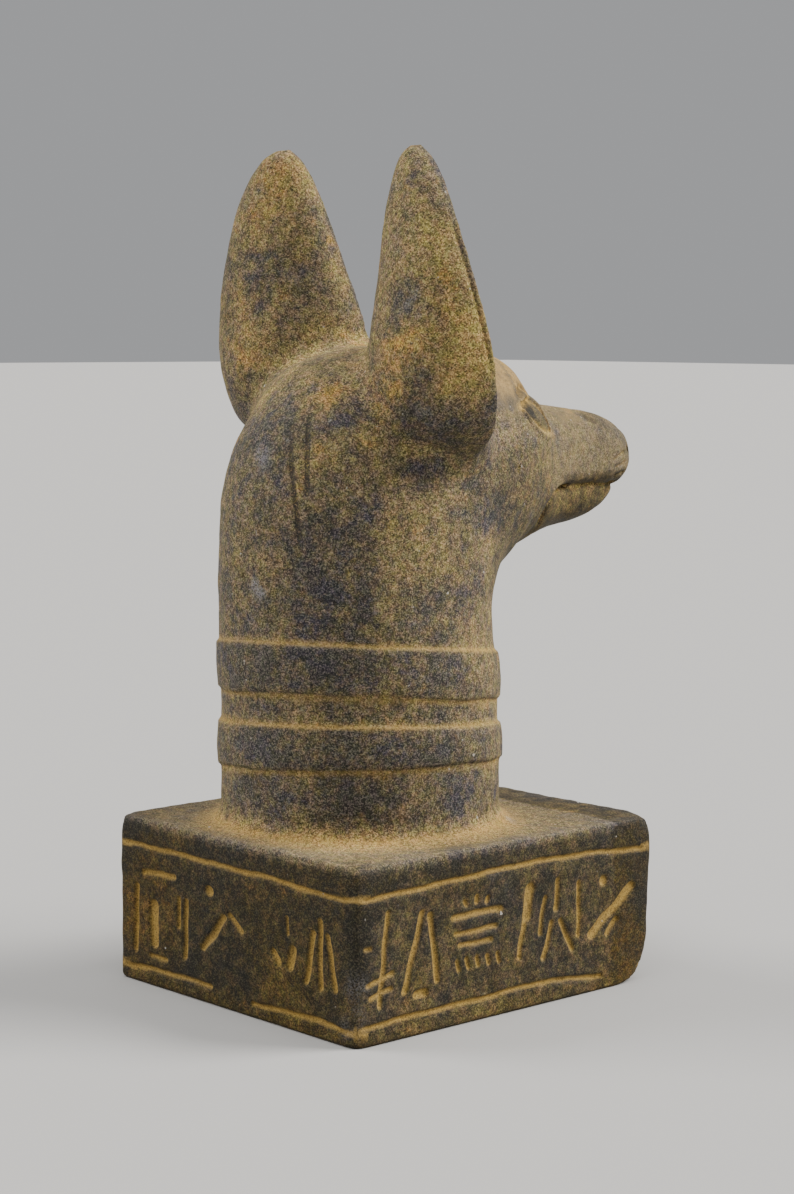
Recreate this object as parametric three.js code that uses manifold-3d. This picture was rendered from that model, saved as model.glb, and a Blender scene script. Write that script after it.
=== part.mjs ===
// A jackal's head on a collared neck, carved in one piece with its oblong plinth.
// Millimetres, +Z up, face towards -Y, origin at the middle of the plinth's underside.
import * as THREE from "three";
import { LoftGeometry } from "three/addons/geometries/LoftGeometry.js";
import { mergeVertices } from "three/addons/utils/BufferGeometryUtils.js";
import Module from "manifold-3d";

const wasm = await Module();
wasm.setup();

// Plinth: its sides lean in a little at the front foot
const PLINTH_WIDTH = 109;
const PLINTH_BACK = 59.9;
const PLINTH_FRONT_TOP = 61;
const PLINTH_FRONT_FOOT = 58.5;
const PLINTH_HEIGHT = 51;
const PLINTH_CORNER_RADIUS = 1.5;

// Border lines round the plinth and the marks between them
const UPPER_BORDER = 42;
const LOWER_BORDER = 4.6;
const BORDER_WIDTH = 2;
const CARVING_DEPTH = 1;
const CUTTER_CLEARANCE = 4;

// Collar: two raised bands, each edge a plane given by its height on the axis, its rise towards
// +X and its rise towards +Y, because the bands were cut by eye and aren't level
const COLLAR_BANDS = [
  { lower: [69.2, -0.088, 0.045], upper: [81.3, -0.063, 0.066] },
  { lower: [89.9, -0.059, 0.095], upper: [103.8, -0.058, 0.103] },
];
const BAND_SWELL = 0.9;
const BAND_EDGE = 1.2;
const NECK_FILLET = 3.5;

// Sections of the head turn about a line across the throat, level in the neck, upright in the muzzle
const THROAT_Y = -36;
const THROAT_Z = 116;

// Ears
const EAR_TURN = THREE.MathUtils.degToRad(17);
const EAR_RIM = 3;

// Eyes: their corners in side view, and how far each lid bows from the line between them
const EYE_OUTER = [-32.5, 176];
const EYE_INNER = [-47.8, 165.5];
const UPPER_LID_BOW = 6;
const LOWER_LID_BOW = -1.5;
const LID_GROOVE = 0.8;

const HEAD_SIDES = 40;
const JAW_SIDES = 28;
const EAR_SIDES = 28;

// A smooth curve through stations [s, a, b, ...] that never overshoots them: monotone cubic pieces.
function curveThrough(stations) {
  const s = stations.map((row) => row[0]);
  const columns = stations[0].slice(1).map((_, c) => stations.map((row) => row[c + 1]));
  const tangents = columns.map((v) => {
    const slope = s.slice(1).map((end, i) => (v[i + 1] - v[i]) / (end - s[i]));
    return s.map((_, i) => {
      if (i === 0) return slope[0];
      if (i === slope.length) return slope[i - 1];
      const [before, after] = [slope[i - 1], slope[i]];
      return before * after <= 0 ? 0 : (2 * before * after) / (before + after);
    });
  });
  return (at) => {
    const x = THREE.MathUtils.clamp(at, s[0], s[s.length - 1]);
    const i = Math.min(Math.max(s.findIndex((end) => end >= x) - 1, 0), s.length - 2);
    const span = s[i + 1] - s[i];
    const u = (x - s[i]) / span;
    return columns.map((v, c) => {
      const [m0, m1] = [tangents[c][i] * span, tangents[c][i + 1] * span];
      const rise = v[i + 1] - v[i];
      return v[i] + u * (m0 + u * (3 * rise - 2 * m0 - m1 + u * (m0 + m1 - 2 * rise)));
    });
  };
}

// Unit points round a superellipse, each as [along, side], from its end at +1. Its two halves, ahead
// of and behind the middle, may differ in squareness.
function superellipse(count, aheadPower, behindPower) {
  return Array.from({ length: count }, (_, k) => {
    const angle = (2 * Math.PI * k) / count;
    const power = Math.cos(angle) > 0 ? aheadPower : behindPower;
    return [Math.cos(angle), Math.sin(angle)].map((v) => Math.sign(v) * Math.abs(v) ** (2 / power));
  });
}

// Unit points round a circle, as [cosine, sine].
function circle(count) {
  return superellipse(count, 2, 2);
}

// A closed geometry as a solid that can be joined and cut.
function solid(geometry) {
  const bare = new THREE.BufferGeometry().setIndex(geometry.index);
  bare.setAttribute("position", geometry.attributes.position);
  const merged = mergeVertices(bare, 1e-4);
  const mesh = new wasm.Mesh({
    numProp: 3,
    vertProperties: merged.attributes.position.array,
    triVerts: new Uint32Array(merged.index.array),
  });
  mesh.merge();
  return new wasm.Manifold(mesh);
}

// The solid of a loft through rings of points.
function loft(rings) {
  return solid(new LoftGeometry(rings, { capStart: true, capEnd: true }));
}

// Stations of the head: s runs in millimetres up to the throat's level at 0, in degrees to 90 round
// it, and in millimetres again to the nose. Then the near edge of the section, its widest place and
// its far edge, each as a distance from the throat line, its half width, and the squareness of its
// far half and of its near half.
const headAt = curveThrough([
  [0, 7.4, 48, 89.6, 40.8, 2, 2],
  [12, 7, 48.5, 91.6, 40.7, 2, 2],
  [24, 6.8, 49.5, 96.4, 40.5, 2, 2],
  [34, 6.8, 51, 98.6, 40, 2, 2],
  [44, 7, 51.5, 98.6, 39.4, 2.05, 2],
  [54, 7.4, 50.5, 93.6, 38.4, 2.1, 2],
  [66, 7.8, 47.5, 84.6, 36.6, 2.1, 2],
  [78, 9, 43.5, 78.2, 34.2, 2.1, 2],
  [90, 11.2, 40.5, 75.4, 30.6, 2.1, 2],
  [96, 13.8, 38.5, 72.4, 27.4, 2.1, 2],
  [101, 17.4, 37.4, 66.8, 24.6, 2.1, 2.2],
  [103, 20, 37, 64.2, 23.5, 2.1, 2.3],
  [105, 25.4, 37, 62.4, 22.5, 2.1, 2.5],
  [107.5, 29.6, 37, 61.3, 21.3, 2.15, 2.7],
  [110, 31.8, 37, 60.6, 20.2, 2.2, 3],
  [114, 33, 37.2, 59.8, 18.8, 2.3, 3.2],
  [118, 33.4, 37.6, 59, 17.6, 2.3, 3.4],
  [128, 33.4, 38.4, 57.8, 15.4, 2.35, 3.4],
  [138, 32.8, 39, 56.4, 13.6, 2.3, 3],
  [146, 32.6, 39.6, 54.5, 11.8, 2.2, 2.6],
  [150.4, 33.6, 40.6, 52.2, 9.8, 2.15, 2.4],
  [153.2, 35.4, 41.8, 50.7, 7.8, 2.1, 2.2],
  [155.5, 37.8, 42.8, 48.6, 5.2, 2, 2],
  [156.8, 40.4, 43.4, 46.4, 2.4, 2, 2],
]);

// Stations of the lower jaw, measured the same way. Its upper edge is buried in the head, so the
// crease where the two meet is the mouth, with the lip standing out over the jaw.
const jawAt = curveThrough([
  [92, 13.6, 26, 36, 18, 2, 2],
  [100, 15.9, 28, 37, 21, 2, 2],
  [104, 17, 29, 37, 20.6, 2, 2],
  [107, 17.7, 29.5, 37, 19.6, 2, 2],
  [110, 18.3, 30, 37, 18.4, 2, 2],
  [114, 19, 30.6, 37, 16.9, 2, 2],
  [118, 19.6, 31, 37, 15.5, 2, 2.1],
  [126, 20.7, 31.6, 37, 13.4, 2, 2.2],
  [134, 22.3, 31.6, 36.6, 11.4, 2, 2.2],
  [140, 24.4, 31.6, 36, 9.6, 2, 2.1],
  [144, 26.8, 31.6, 35.4, 7.8, 2, 2],
  [146.6, 28.8, 31.8, 34.6, 5.6, 2, 2],
  [148, 30.6, 32.2, 33.4, 2.6, 2, 2],
]);

// A point at station s, some distance from the throat line and sideways from the middle plane.
function headPoint(s, reach, x) {
  if (s > 90) return new THREE.Vector3(x, THROAT_Y - (s - 90), THROAT_Z + reach);
  const angle = THREE.MathUtils.degToRad(s);
  return new THREE.Vector3(x, THROAT_Y + reach * Math.cos(angle), THROAT_Z + reach * Math.sin(angle));
}

function sectionRing(stationsAt, s, sides) {
  const [near, widest, far, halfWidth, farPower, nearPower] = stationsAt(s);
  return superellipse(sides, farPower, nearPower).map(([along, side]) => {
    const reach = widest + along * (along > 0 ? far - widest : widest - near);
    return headPoint(s, reach, -side * halfWidth);
  });
}

// Stations of the neck: height, where its axis stands, and its radius.
const neckAt = curveThrough([
  [PLINTH_HEIGHT, 10.2, 42.1],
  [80, 10.6, 41.7],
  [98, 11.2, 41.3],
  [107, 12.2, 41],
  [THROAT_Z, 12.5, 41],
]);

// A ring of the neck in a tilted plane, swollen by some millimetres.
function neckRing([height, riseX, riseY], lift, swell) {
  const [axisY, radius] = neckAt(height);
  return circle(HEAD_SIDES).map(([along, side]) => {
    const x = -side * (radius + swell);
    const y = along * (radius + swell);
    return new THREE.Vector3(x, axisY + y, height + lift + riseX * x + riseY * y);
  });
}

function neckRings() {
  const foot = [PLINTH_HEIGHT, 0, 0];
  const rings = [
    neckRing(foot, -NECK_FILLET, NECK_FILLET),
    neckRing(foot, 0, NECK_FILLET),
    neckRing(foot, NECK_FILLET * 0.3, NECK_FILLET * 0.35),
    neckRing(foot, NECK_FILLET, 0),
  ];
  for (const { lower, upper } of COLLAR_BANDS) {
    const middle = lower.map((value, i) => (value + upper[i]) / 2);
    rings.push(
      neckRing(lower, -BAND_EDGE / 2, 0),
      neckRing(lower, BAND_EDGE / 2, BAND_SWELL * 0.8),
      neckRing(middle, 0, BAND_SWELL),
      neckRing(upper, -BAND_EDGE / 2, BAND_SWELL * 0.8),
      neckRing(upper, BAND_EDGE / 2, 0),
    );
  }
  return rings;
}

// Numbers from start up to end by a step.
function range(start, end, step) {
  return Array.from({ length: Math.ceil((end - start) / step) }, (_, i) => start + i * step);
}

function headAndNeck() {
  const stations = [...range(0, 90, 6), ...range(90, 146, 3.5), 146, 148.6, 151, 153, 154.6, 155.9, 156.8];
  return loft([...neckRings(), ...stations.map((s) => sectionRing(headAt, s, HEAD_SIDES))]);
}

function lowerJaw() {
  const stations = [...range(92, 140, 6), 140, 142.4, 144.4, 146, 147.2, 148];
  return loft(stations.map((s) => sectionRing(jawAt, s, JAW_SIDES)));
}

// Stations of an ear: its height, the middle of its rim plane, its half width there, how far its
// back bulges, and how deep its front is hollowed.
const EAR_STATIONS = [
  [158, 33, 1.6, 7, 6, -4],
  [161, 33.4, 1.6, 13, 11, -6],
  [164, 33.8, 1.8, 16.8, 15.8, -6],
  [167, 34.2, 2.1, 18.8, 19.6, -4],
  [171, 34.4, 2.6, 20.4, 23, -0.5],
  [176, 34.4, 3.2, 22.2, 25, 3.5],
  [182, 34.2, 4.2, 23.9, 25.4, 7],
  [188, 34, 5.3, 24.8, 24.6, 9.2],
  [194, 33.8, 6.6, 24.9, 22.8, 10.4],
  [200, 33.6, 7.9, 24.4, 20.6, 10.4],
  [208, 33.4, 9.8, 22.9, 17.6, 9.4],
  [216, 33.1, 11.5, 20.8, 15.3, 8],
  [224, 32.6, 12.9, 18.4, 13.2, 6.4],
  [232, 32, 14.1, 15.7, 10.9, 4.6],
  [240, 31.3, 15, 12.3, 8.1, 2.6],
  [246, 30.4, 15.5, 8.7, 5.5, 0.8],
  [249, 29.8, 15.7, 5.8, 3.7, 0],
  [250.8, 29.3, 15.8, 2.2, 1.5, 0],
];

function earRing([z, middleX, middleY, halfWidth, bulge, hollow], side) {
  const rim = Math.min(EAR_RIM, halfWidth / 3);
  return circle(EAR_SIDES).map(([across, forward]) => {
    const w = across * halfWidth;
    const bowl = Math.max(0, 1 - (w / (halfWidth - rim)) ** 2);
    const n = forward > 0 ? rim * Math.sqrt(forward) * 0.8 - hollow * bowl : bulge * forward;
    const outward = w * Math.cos(EAR_TURN) + n * Math.sin(EAR_TURN);
    const back = w * Math.sin(EAR_TURN) - n * Math.cos(EAR_TURN);
    return new THREE.Vector3(side * (middleX + outward), middleY + back, z);
  });
}

function ear(side) {
  const rings = EAR_STATIONS.map((station) => earRing(station, side));
  return loft(side > 0 ? rings.map((ring) => ring.reverse()) : rings);
}

// The place on the head's side that side view shows at [y, z].
function headSide(side, y, z) {
  const [back, up] = [y - THROAT_Y, z - THROAT_Z];
  const s = back < 0 ? 90 - back : THREE.MathUtils.radToDeg(Math.atan2(up, back));
  const [near, widest, far, halfWidth, farPower, nearPower] = headAt(s);
  const reach = (back < 0 ? up : Math.hypot(back, up)) - widest;
  const power = reach > 0 ? farPower : nearPower;
  const share = Math.abs(reach) / (reach > 0 ? far - widest : widest - near);
  return new THREE.Vector3(side * halfWidth * (1 - share ** power) ** (1 / power), y, z);
}

// The round groove about an eye: along the upper lid to the inner corner and back by the lower one.
// Its places are [y, z] in side view.
function eyeGroove(side) {
  const [dy, dz] = [EYE_INNER[0] - EYE_OUTER[0], EYE_INNER[1] - EYE_OUTER[1]];
  const length = Math.hypot(dy, dz);
  const place = (t, bow) => {
    const rise = bow * 4 * t * (1 - t);
    return [EYE_OUTER[0] + dy * t + (rise * dz) / length, EYE_OUTER[1] + dz * t - (rise * dy) / length];
  };
  const upper = [0, 0.2, 0.4, 0.6, 0.8].map((t) => place(t, UPPER_LID_BOW));
  const lower = [1, 0.8, 0.6, 0.4, 0.2].map((t) => place(t, LOWER_LID_BOW));
  const places = [...upper, ...lower].map(([y, z]) => headSide(side, y, z));
  const line = new THREE.CatmullRomCurve3(places, true);
  return solid(new THREE.TubeGeometry(line, places.length * 2, LID_GROOVE, 6, true));
}

// A ring of the plinth at some height, drawn in by an inset.
function plinthRing(z, inset) {
  const frontY = THREE.MathUtils.lerp(PLINTH_FRONT_FOOT, PLINTH_FRONT_TOP, z / PLINTH_HEIGHT);
  const radius = PLINTH_CORNER_RADIUS;
  const x = PLINTH_WIDTH / 2 - inset - radius;
  const back = PLINTH_BACK - inset - radius;
  const front = radius + inset - frontY;
  const corners = [
    [x, back],
    [-x, back],
    [-x, front],
    [x, front],
  ];
  return corners.flatMap(([cx, cy], quarter) =>
    [0, 1, 2].map((step) => {
      const angle = (Math.PI / 2) * (quarter + step / 2);
      return new THREE.Vector3(cx + radius * Math.cos(angle), cy + radius * Math.sin(angle), z);
    }),
  );
}

function plinth() {
  const profile = [
    [0, 0.6],
    [0.8, 0],
    [PLINTH_HEIGHT - 1.5, 0],
    [PLINTH_HEIGHT - 0.4, 0.4],
    [PLINTH_HEIGHT, 1.5],
  ];
  return loft(profile.map(([z, inset]) => plinthRing(z, inset)));
}

// A slab of the plinth's outline about height z, drawn in by an inset.
function plinthSlab(z, halfHeight, inset) {
  return loft([z - halfHeight, z + halfHeight].map((level) => plinthRing(level, inset)));
}

// A border line right round the plinth: a flat frame that bites into its four faces.
function borderLine(z) {
  const frame = plinthSlab(z, BORDER_WIDTH / 2, -CUTTER_CLEARANCE);
  return frame.subtract(plinthSlab(z, BORDER_WIDTH, CARVING_DEPTH));
}

// Marks on a face of the plinth, as [across, height, across, height, width]. Across runs from the
// middle of the face towards +X on the back and front, and towards +Y on the two sides.
const BACK_MARKS = [
  [46, 31, 47, 9, 2],
  [44, 34.5, 27, 35.5, 2],
  [38, 27, 37.5, 12, 4],
  [40, 9.5, 31, 9.5, 1.6],
  [25.5, 30, 25.5, 20, 1.6],
  [22, 30, 22.5, 11, 2],
  [12.6, 34, 9, 34, 3.6],
  [14.5, 15.5, 3, 28, 2.6],
  [2, 29, -5, 24, 2],
  [-18, 22, -22, 18, 2.4],
  [-25, 33, -25, 27, 1.4],
  [-27.5, 25, -26, 17, 2.8],
  [-36.5, 31, -33, 14.5, 2],
  [-39.3, 35, -39.3, 14, 2],
  [-42, 31, -46, 14.5, 2],
];
const RIGHT_MARKS = [
  [48, 38, 51, 10, 1.8],
  [57, 28, 54, 28, 1.4],
  [56, 17, 45.5, 20, 1.6],
  [55, 13.5, 46, 15.5, 1.6],
  [34.5, 36, 42, 12.5, 2],
  [32, 35, 28.8, 13.5, 2],
  [38.5, 12, 32.5, 12, 2.4],
  [18.5, 36.5, 17.5, 34, 1.6],
  [13.6, 37.5, 13.6, 34, 1.6],
  [9, 36.5, 10, 34, 1.6],
  [24, 31.8, 3, 31.8, 2],
  [22.5, 26.8, 5, 26.8, 1.6],
  [21, 23.3, 7, 23.3, 1.6],
  [21.5, 19.5, 20.5, 15.5, 1.4],
  [17.5, 19.5, 16.5, 15.5, 1.4],
  [13.5, 19.5, 12.5, 15.5, 1.4],
  [9.5, 19.5, 8.5, 15.5, 1.4],
  [5.5, 19.5, 4.5, 15.5, 1.4],
  [-8.4, 37.6, -6.6, 26, 3.6],
  [-6, 27, -3.6, 15, 1.8],
  [-19.7, 37.5, -18.8, 27, 2.2],
  [-14.5, 33, -12, 21, 1.6],
  [-17.6, 25, -13.6, 13, 2],
  [-20.4, 25, -26.6, 14, 2],
  [-28.6, 35.5, -28.6, 17.5, 1.8],
  [-37.4, 33.7, -41, 33.7, 3.4],
  [-33, 17, -53, 31, 3.2],
  [-40.5, 16.5, -46, 21.5, 2],
];
const PLAIN_MARKS = range(-40, 41, 10).map((across, i) => [across, i % 2 ? 30 : 34, across, 14, 2]);

// The cutter of one mark: a bar that sinks into a face and stands clear outside it. Axis is the one
// that the face looks along, and face is its place on that axis.
function markCutter([a0, z0, a1, z1, width], axis, face) {
  const length = Math.hypot(a1 - a0, z1 - z0);
  const bar = new THREE.BoxGeometry(length, width, CUTTER_CLEARANCE + CARVING_DEPTH);
  bar.rotateZ(Math.atan2(z1 - z0, a1 - a0));
  bar.rotateX(Math.PI / 2);
  if (axis === "x") bar.rotateZ(Math.PI / 2);
  const across = (a0 + a1) / 2;
  const middle = face + (Math.sign(face) * (CUTTER_CLEARANCE - CARVING_DEPTH)) / 2;
  const [x, y] = axis === "x" ? [middle, across] : [across, middle];
  return solid(bar.translate(x, y, (z0 + z1) / 2));
}

function carvedPlinth() {
  const side = PLINTH_WIDTH / 2;
  const marks = [
    ...BACK_MARKS.map((mark) => markCutter(mark, "y", PLINTH_BACK)),
    ...PLAIN_MARKS.map((mark) => markCutter(mark, "y", -(PLINTH_FRONT_TOP + PLINTH_FRONT_FOOT) / 2)),
    ...RIGHT_MARKS.map((mark) => markCutter(mark, "x", -side)),
    ...PLAIN_MARKS.map((mark) => markCutter(mark, "x", side)),
  ];
  const cutters = [borderLine(UPPER_BORDER), borderLine(LOWER_BORDER), ...marks];
  return cutters.reduce((stone, cutter) => stone.subtract(cutter), plinth());
}

// A solid back as a mesh with a stone finish.
function stoneMesh(name, made) {
  const { vertProperties, triVerts } = made.getMesh();
  const geometry = new THREE.BufferGeometry();
  geometry.setAttribute("position", new THREE.BufferAttribute(vertProperties, 3));
  geometry.setIndex(new THREE.BufferAttribute(triVerts, 1));
  geometry.computeVertexNormals();
  const stone = new THREE.MeshStandardMaterial({ color: 0x5b5340, roughness: 0.85, metalness: 0 });
  const mesh = new THREE.Mesh(geometry, stone);
  mesh.name = name;
  return mesh;
}

const head = headAndNeck().add(lowerJaw()).add(ear(1)).add(ear(-1));
const face = [1, -1].reduce((stone, side) => stone.subtract(eyeGroove(side)), head);
const statue = carvedPlinth().add(face);

const group = new THREE.Group();
group.add(stoneMesh("jackal_head_statue", statue));

export default group;
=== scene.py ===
import math
from types import SimpleNamespace

import bpy
import numpy as np
import openvdb
from mathutils import Matrix, Vector


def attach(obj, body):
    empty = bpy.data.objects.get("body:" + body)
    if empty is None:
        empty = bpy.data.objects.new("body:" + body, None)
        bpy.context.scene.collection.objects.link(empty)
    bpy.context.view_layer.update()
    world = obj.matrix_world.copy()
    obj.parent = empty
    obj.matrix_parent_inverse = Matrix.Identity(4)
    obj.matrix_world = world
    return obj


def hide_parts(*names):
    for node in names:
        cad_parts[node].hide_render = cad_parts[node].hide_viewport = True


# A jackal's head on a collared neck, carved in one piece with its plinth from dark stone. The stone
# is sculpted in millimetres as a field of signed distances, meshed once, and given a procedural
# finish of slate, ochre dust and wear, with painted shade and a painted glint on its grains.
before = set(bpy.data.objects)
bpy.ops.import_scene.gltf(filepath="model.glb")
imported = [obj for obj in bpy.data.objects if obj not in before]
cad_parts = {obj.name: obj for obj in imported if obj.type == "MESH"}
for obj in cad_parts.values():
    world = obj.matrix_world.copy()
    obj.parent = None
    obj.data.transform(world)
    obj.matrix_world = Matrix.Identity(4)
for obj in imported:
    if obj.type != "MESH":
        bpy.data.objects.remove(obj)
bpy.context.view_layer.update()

MM = 0.001
STONE_NODE = "jackal_head_statue"

# Grid of the sculpting field: voxel size, and the first and last voxel on each axis
VOXEL = 0.6
GRID_LOW = np.floor(np.array([-63.0, -109.0, -5.0]) / VOXEL).astype(int)
GRID_HIGH = np.ceil(np.array([63.0, 67.0, 257.0]) / VOXEL).astype(int)
GRID_SHAPE = tuple(GRID_HIGH - GRID_LOW + 1)
# How far from the surface the field is kept, and the mesh's limit
BAND = 9.0
MOST_TRIANGLES = 190000

# Ripple left by the hand: its height, and waves as the axis each runs along, the axis that bends it, its
# turn per millimetre, how far it is bent and how fast
RIPPLE = 0.035
RIPPLE_WAVES = [(0, 1, 0.85, 1.9, 0.23), (1, 2, 0.90, 2.1, 0.19), (2, 0, 0.80, 1.7, 0.27)]
# Layers of noise, each as height, cell and seed
UNEVENNESS = [(0.22, 17, 3), (0.10, 6.5, 4), (0.05, 2.6, 5)]
OCHRE_RAGGEDNESS = [(0.6, 9, 51), (0.6, 4.5, 52), (0.4, 2.4, 53)]
BROW_RAGGEDNESS = [(4, 6, 67), (3, 2.5, 68)]

# Plinth, as in the solid
PLINTH_HALF_WIDTH = 54.5
PLINTH_BACK = 59.9
PLINTH_FRONT_TOP = 61.0
PLINTH_FRONT_FOOT = 58.5
PLINTH_HEIGHT = 51.0
EDGE_RADIUS = 1.3

# Neck and head, as in the solid: the head's sections turn about a line across the throat, from level at
# 0 to upright at 90 degrees, and from there step ahead by millimetres. Each row has its station, nearest,
# widest and furthest reach from that line, half width and the powers of its two ends' curves.
THROAT_Y = -36.0
THROAT_Z = 116.0
FULL_TURN = 90
NECK_STATIONS = [
    [44, 10.2, 42.1],
    [80, 10.6, 41.7],
    [98, 11.2, 41.3],
    [107, 12.2, 41.0],
    [116, 12.5, 41.0],
]
HEAD_STATIONS = [
    [0, 7.4, 48, 89.6, 40.8, 2, 2], [12, 7, 48.5, 91.6, 40.7, 2, 2], [24, 6.8, 49.5, 96.4, 40.5, 2, 2],
    [34, 6.8, 51, 98.6, 40, 2, 2], [44, 7, 51.5, 98.6, 39.4, 2.05, 2], [54, 7.4, 50.5, 93.6, 38.4, 2.1, 2],
    [66, 7.8, 47.5, 84.6, 36.6, 2.1, 2], [78, 9, 43.5, 78.2, 34.2, 2.1, 2],
    [90, 11.2, 40.5, 75.4, 30.6, 2.1, 2], [96, 13.8, 38.5, 72.4, 27.4, 2.1, 2],
    [101, 17.4, 37.4, 66.8, 24.6, 2.1, 2.2], [103, 20, 37, 64.2, 23.5, 2.1, 2.3],
    [105, 25.4, 37, 62.4, 22.5, 2.1, 2.5], [107.5, 29.6, 37, 61.3, 21.3, 2.15, 2.7],
    [110, 31.8, 37, 60.6, 20.2, 2.2, 3], [114, 33, 37.2, 59.8, 18.8, 2.3, 3.2],
    [118, 33.4, 37.6, 59, 17.6, 2.3, 3.4], [128, 33.4, 38.4, 57.8, 15.4, 2.35, 3.4],
    [138, 32.8, 39, 56.4, 13.6, 2.3, 3], [146, 32.6, 39.6, 54.5, 11.8, 2.2, 2.6],
    [150.4, 33.6, 40.6, 52.2, 9.8, 2.15, 2.4], [153.2, 35.4, 41.8, 50.7, 7.8, 2.1, 2.2],
    [155.5, 37.8, 42.8, 48.6, 5.2, 2, 2], [156.8, 40.4, 43.4, 46.4, 2.4, 2, 2],
]
JAW_STATIONS = [
    [92, 13.6, 26, 36, 18, 2, 2], [100, 15.9, 28, 37, 21, 2, 2], [104, 17, 29, 37, 20.6, 2, 2],
    [107, 17.7, 29.5, 37, 19.6, 2, 2], [110, 18.3, 30, 37, 18.4, 2, 2], [114, 19, 30.6, 37, 16.9, 2, 2],
    [118, 19.6, 31, 37, 15.5, 2, 2.1], [126, 20.7, 31.6, 37, 13.4, 2, 2.2],
    [134, 22.3, 31.6, 36.6, 11.4, 2, 2.2], [140, 24.4, 31.6, 36, 9.6, 2, 2.1],
    [144, 26.8, 31.6, 35.4, 7.8, 2, 2], [146.6, 28.8, 31.8, 34.6, 5.6, 2, 2],
    [148, 30.6, 32.2, 33.4, 2.6, 2, 2],
]
# Rings along the neck, head and jaw: their spacing, as start, end and step, and their points
NECK_STEP = 2.0
HEAD_STEPS = [(0, 90, 1.5), (90, 150, 1.0), (150, 156.81, 0.4)]
JAW_STEPS = [(92, 140, 1.0), (140, 148.01, 0.4)]
HEAD_SIDES = 128
LIP_BLEND = 2.4
FOOT_BLEND = 7.0

# Collar bands: each edge is a plane by its height on the axis and its rise towards +X and +Y
COLLAR_BANDS = [
    ([69.2, -0.088, 0.045], [81.3, -0.063, 0.066]),
    ([89.9, -0.059, 0.095], [103.8, -0.058, 0.103]),
]
COLLAR_AXIS_Y = 11
NECK_AXIS_Y = 10
COLLAR_HEIGHTS = (62, 112)
BAND_SWELL = 1.25
BAND_EDGE = 0.9
BAND_CROWN = 0.28
# Waver of the bands' edges: waves as height, turns round the neck and start, and each band's share
COLLAR_WAVER = [(0.35, 3, 0.6), (0.22, 7, 2), (0.12, 13, 0)]
WAVER_SHARES = [(-0.8, 1), (1, -0.7)]

# Ears: height, middle of the rim plane, half width, bulge of the back, depth of the hollow
EAR_TURN = math.radians(17)
EAR_RIM = 3.0
EAR_RINGS = 90
EAR_SIDES = 96
RIM_ROUNDNESS = 0.8
EAR_BLEND = 7.0
EAR_STATIONS = [
    [158, 32, 1.6, 4, 5, -4], [161, 32.4, 1.6, 8.4, 10, -6], [164, 33, 1.8, 13, 15.2, -6],
    [167, 33.8, 2.1, 17.2, 19.6, -4], [171, 34.4, 2.6, 20.4, 23, -0.5], [176, 34.4, 3.2, 22.2, 25, 3.5],
    [182, 34.2, 4.2, 23.9, 25.4, 7], [188, 34, 5.3, 24.8, 24.6, 9.2], [194, 33.8, 6.6, 24.9, 22.8, 10.4],
    [200, 33.6, 7.9, 24.4, 20.6, 10.4], [208, 33.4, 9.8, 22.9, 17.6, 9.4], [216, 33.1, 11.5, 20.8, 15.3, 8],
    [224, 32.6, 12.9, 18.4, 13.2, 6.4], [232, 32.1, 14.1, 15.6, 11.0, 4.6], [240, 31.4, 15, 12.0, 8.5, 2.6],
    [246, 30.5, 15.5, 8.0, 6.2, 0.8], [249, 30, 15.7, 5.0, 4.2, 0], [250.8, 29.6, 15.8, 2.1, 1.8, 0],
]
EAR_STRETCH = {1: 1.010, -1: 0.994}
RIM_GROOVE_PLACE = -0.6
RIM_GROOVE_DEPTH = 0.6
RIM_GROOVE_HEIGHTS = (180, 196, 222, 232)
# Both halves of the head are worked on from this far off its middle
HALF_HEAD_FROM = 4

# Eyes in side view, [y, z]: the corners, the bow of each lid, and the hollow they sit in
EYE_OUTER = np.array([-28.6, 175.8])
EYE_INNER = np.array([-49.0, 167.2])
UPPER_LID_BOW = 5.6
UPPER_LID_FULLNESS = 0.8
LOWER_LID_BOW = -3.3
LID_WIDTH = 2.3
LID_HEIGHT = 0.75
CREASE_GAP = 1.1
EYE_DEPTH = 0.85
EYE_PIT_DEPTH = 1.3
BALL_BULGE = 0.8
SOCKET = (-38.5, 179.5, 6.0, 1.3)

# Mouth and nose: the crease between lip and jaw, its corner in side view as [y, z], the line that parts
# jaw from cheek as [z, y], and the nose's cuts
MOUTH_CUT_DEPTH = 0.5
MOUTH_CORNER = [
    (-61, 149.9), (-57, 149.7), (-53, 149.2), (-48, 147.6), (-45.3, 145.2), (-44, 142.4), (-44, 139),
]
MOUTH_LINE = [
    (130, -42), (139, -44), (142.4, -44), (145.2, -45.3), (147.6, -48), (149.2, -53), (149.9, -62),
]
MOUTH_HEIGHT = 150.2
MOUTH_CORNER_DEPTH = 0.9
MOUTH_HALF_WIDTH = 0.9
NOSE_TICKS = [
    [-86.2, 157.0, -94.0, 159.6, 1.3],
    [-86.8, 154.4, -94.4, 156.4, 1.3],
    [-87.0, 152.0, -94.0, 153.2, 1.3],
    [-87.0, 149.9, -92.6, 150.3, 1.2],
]
TICK_DEPTH = 0.9
NOSTRIL = [-99.0, 158.4, -96.6, 161.2, 2.0]
NOSTRIL_DEPTH = 1.3
# Where the face is cut: behind it, its heights, where the nose's part starts, and how far off the
# head's middle the cuts begin and are full
FACE_BACK = -20
FACE_HEIGHTS = (134, 192)
NOSE_BACK = -70
EYES_OFF_MIDDLE = (10, 15)
NOSE_OFF_MIDDLE = (3, 7)

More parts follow.
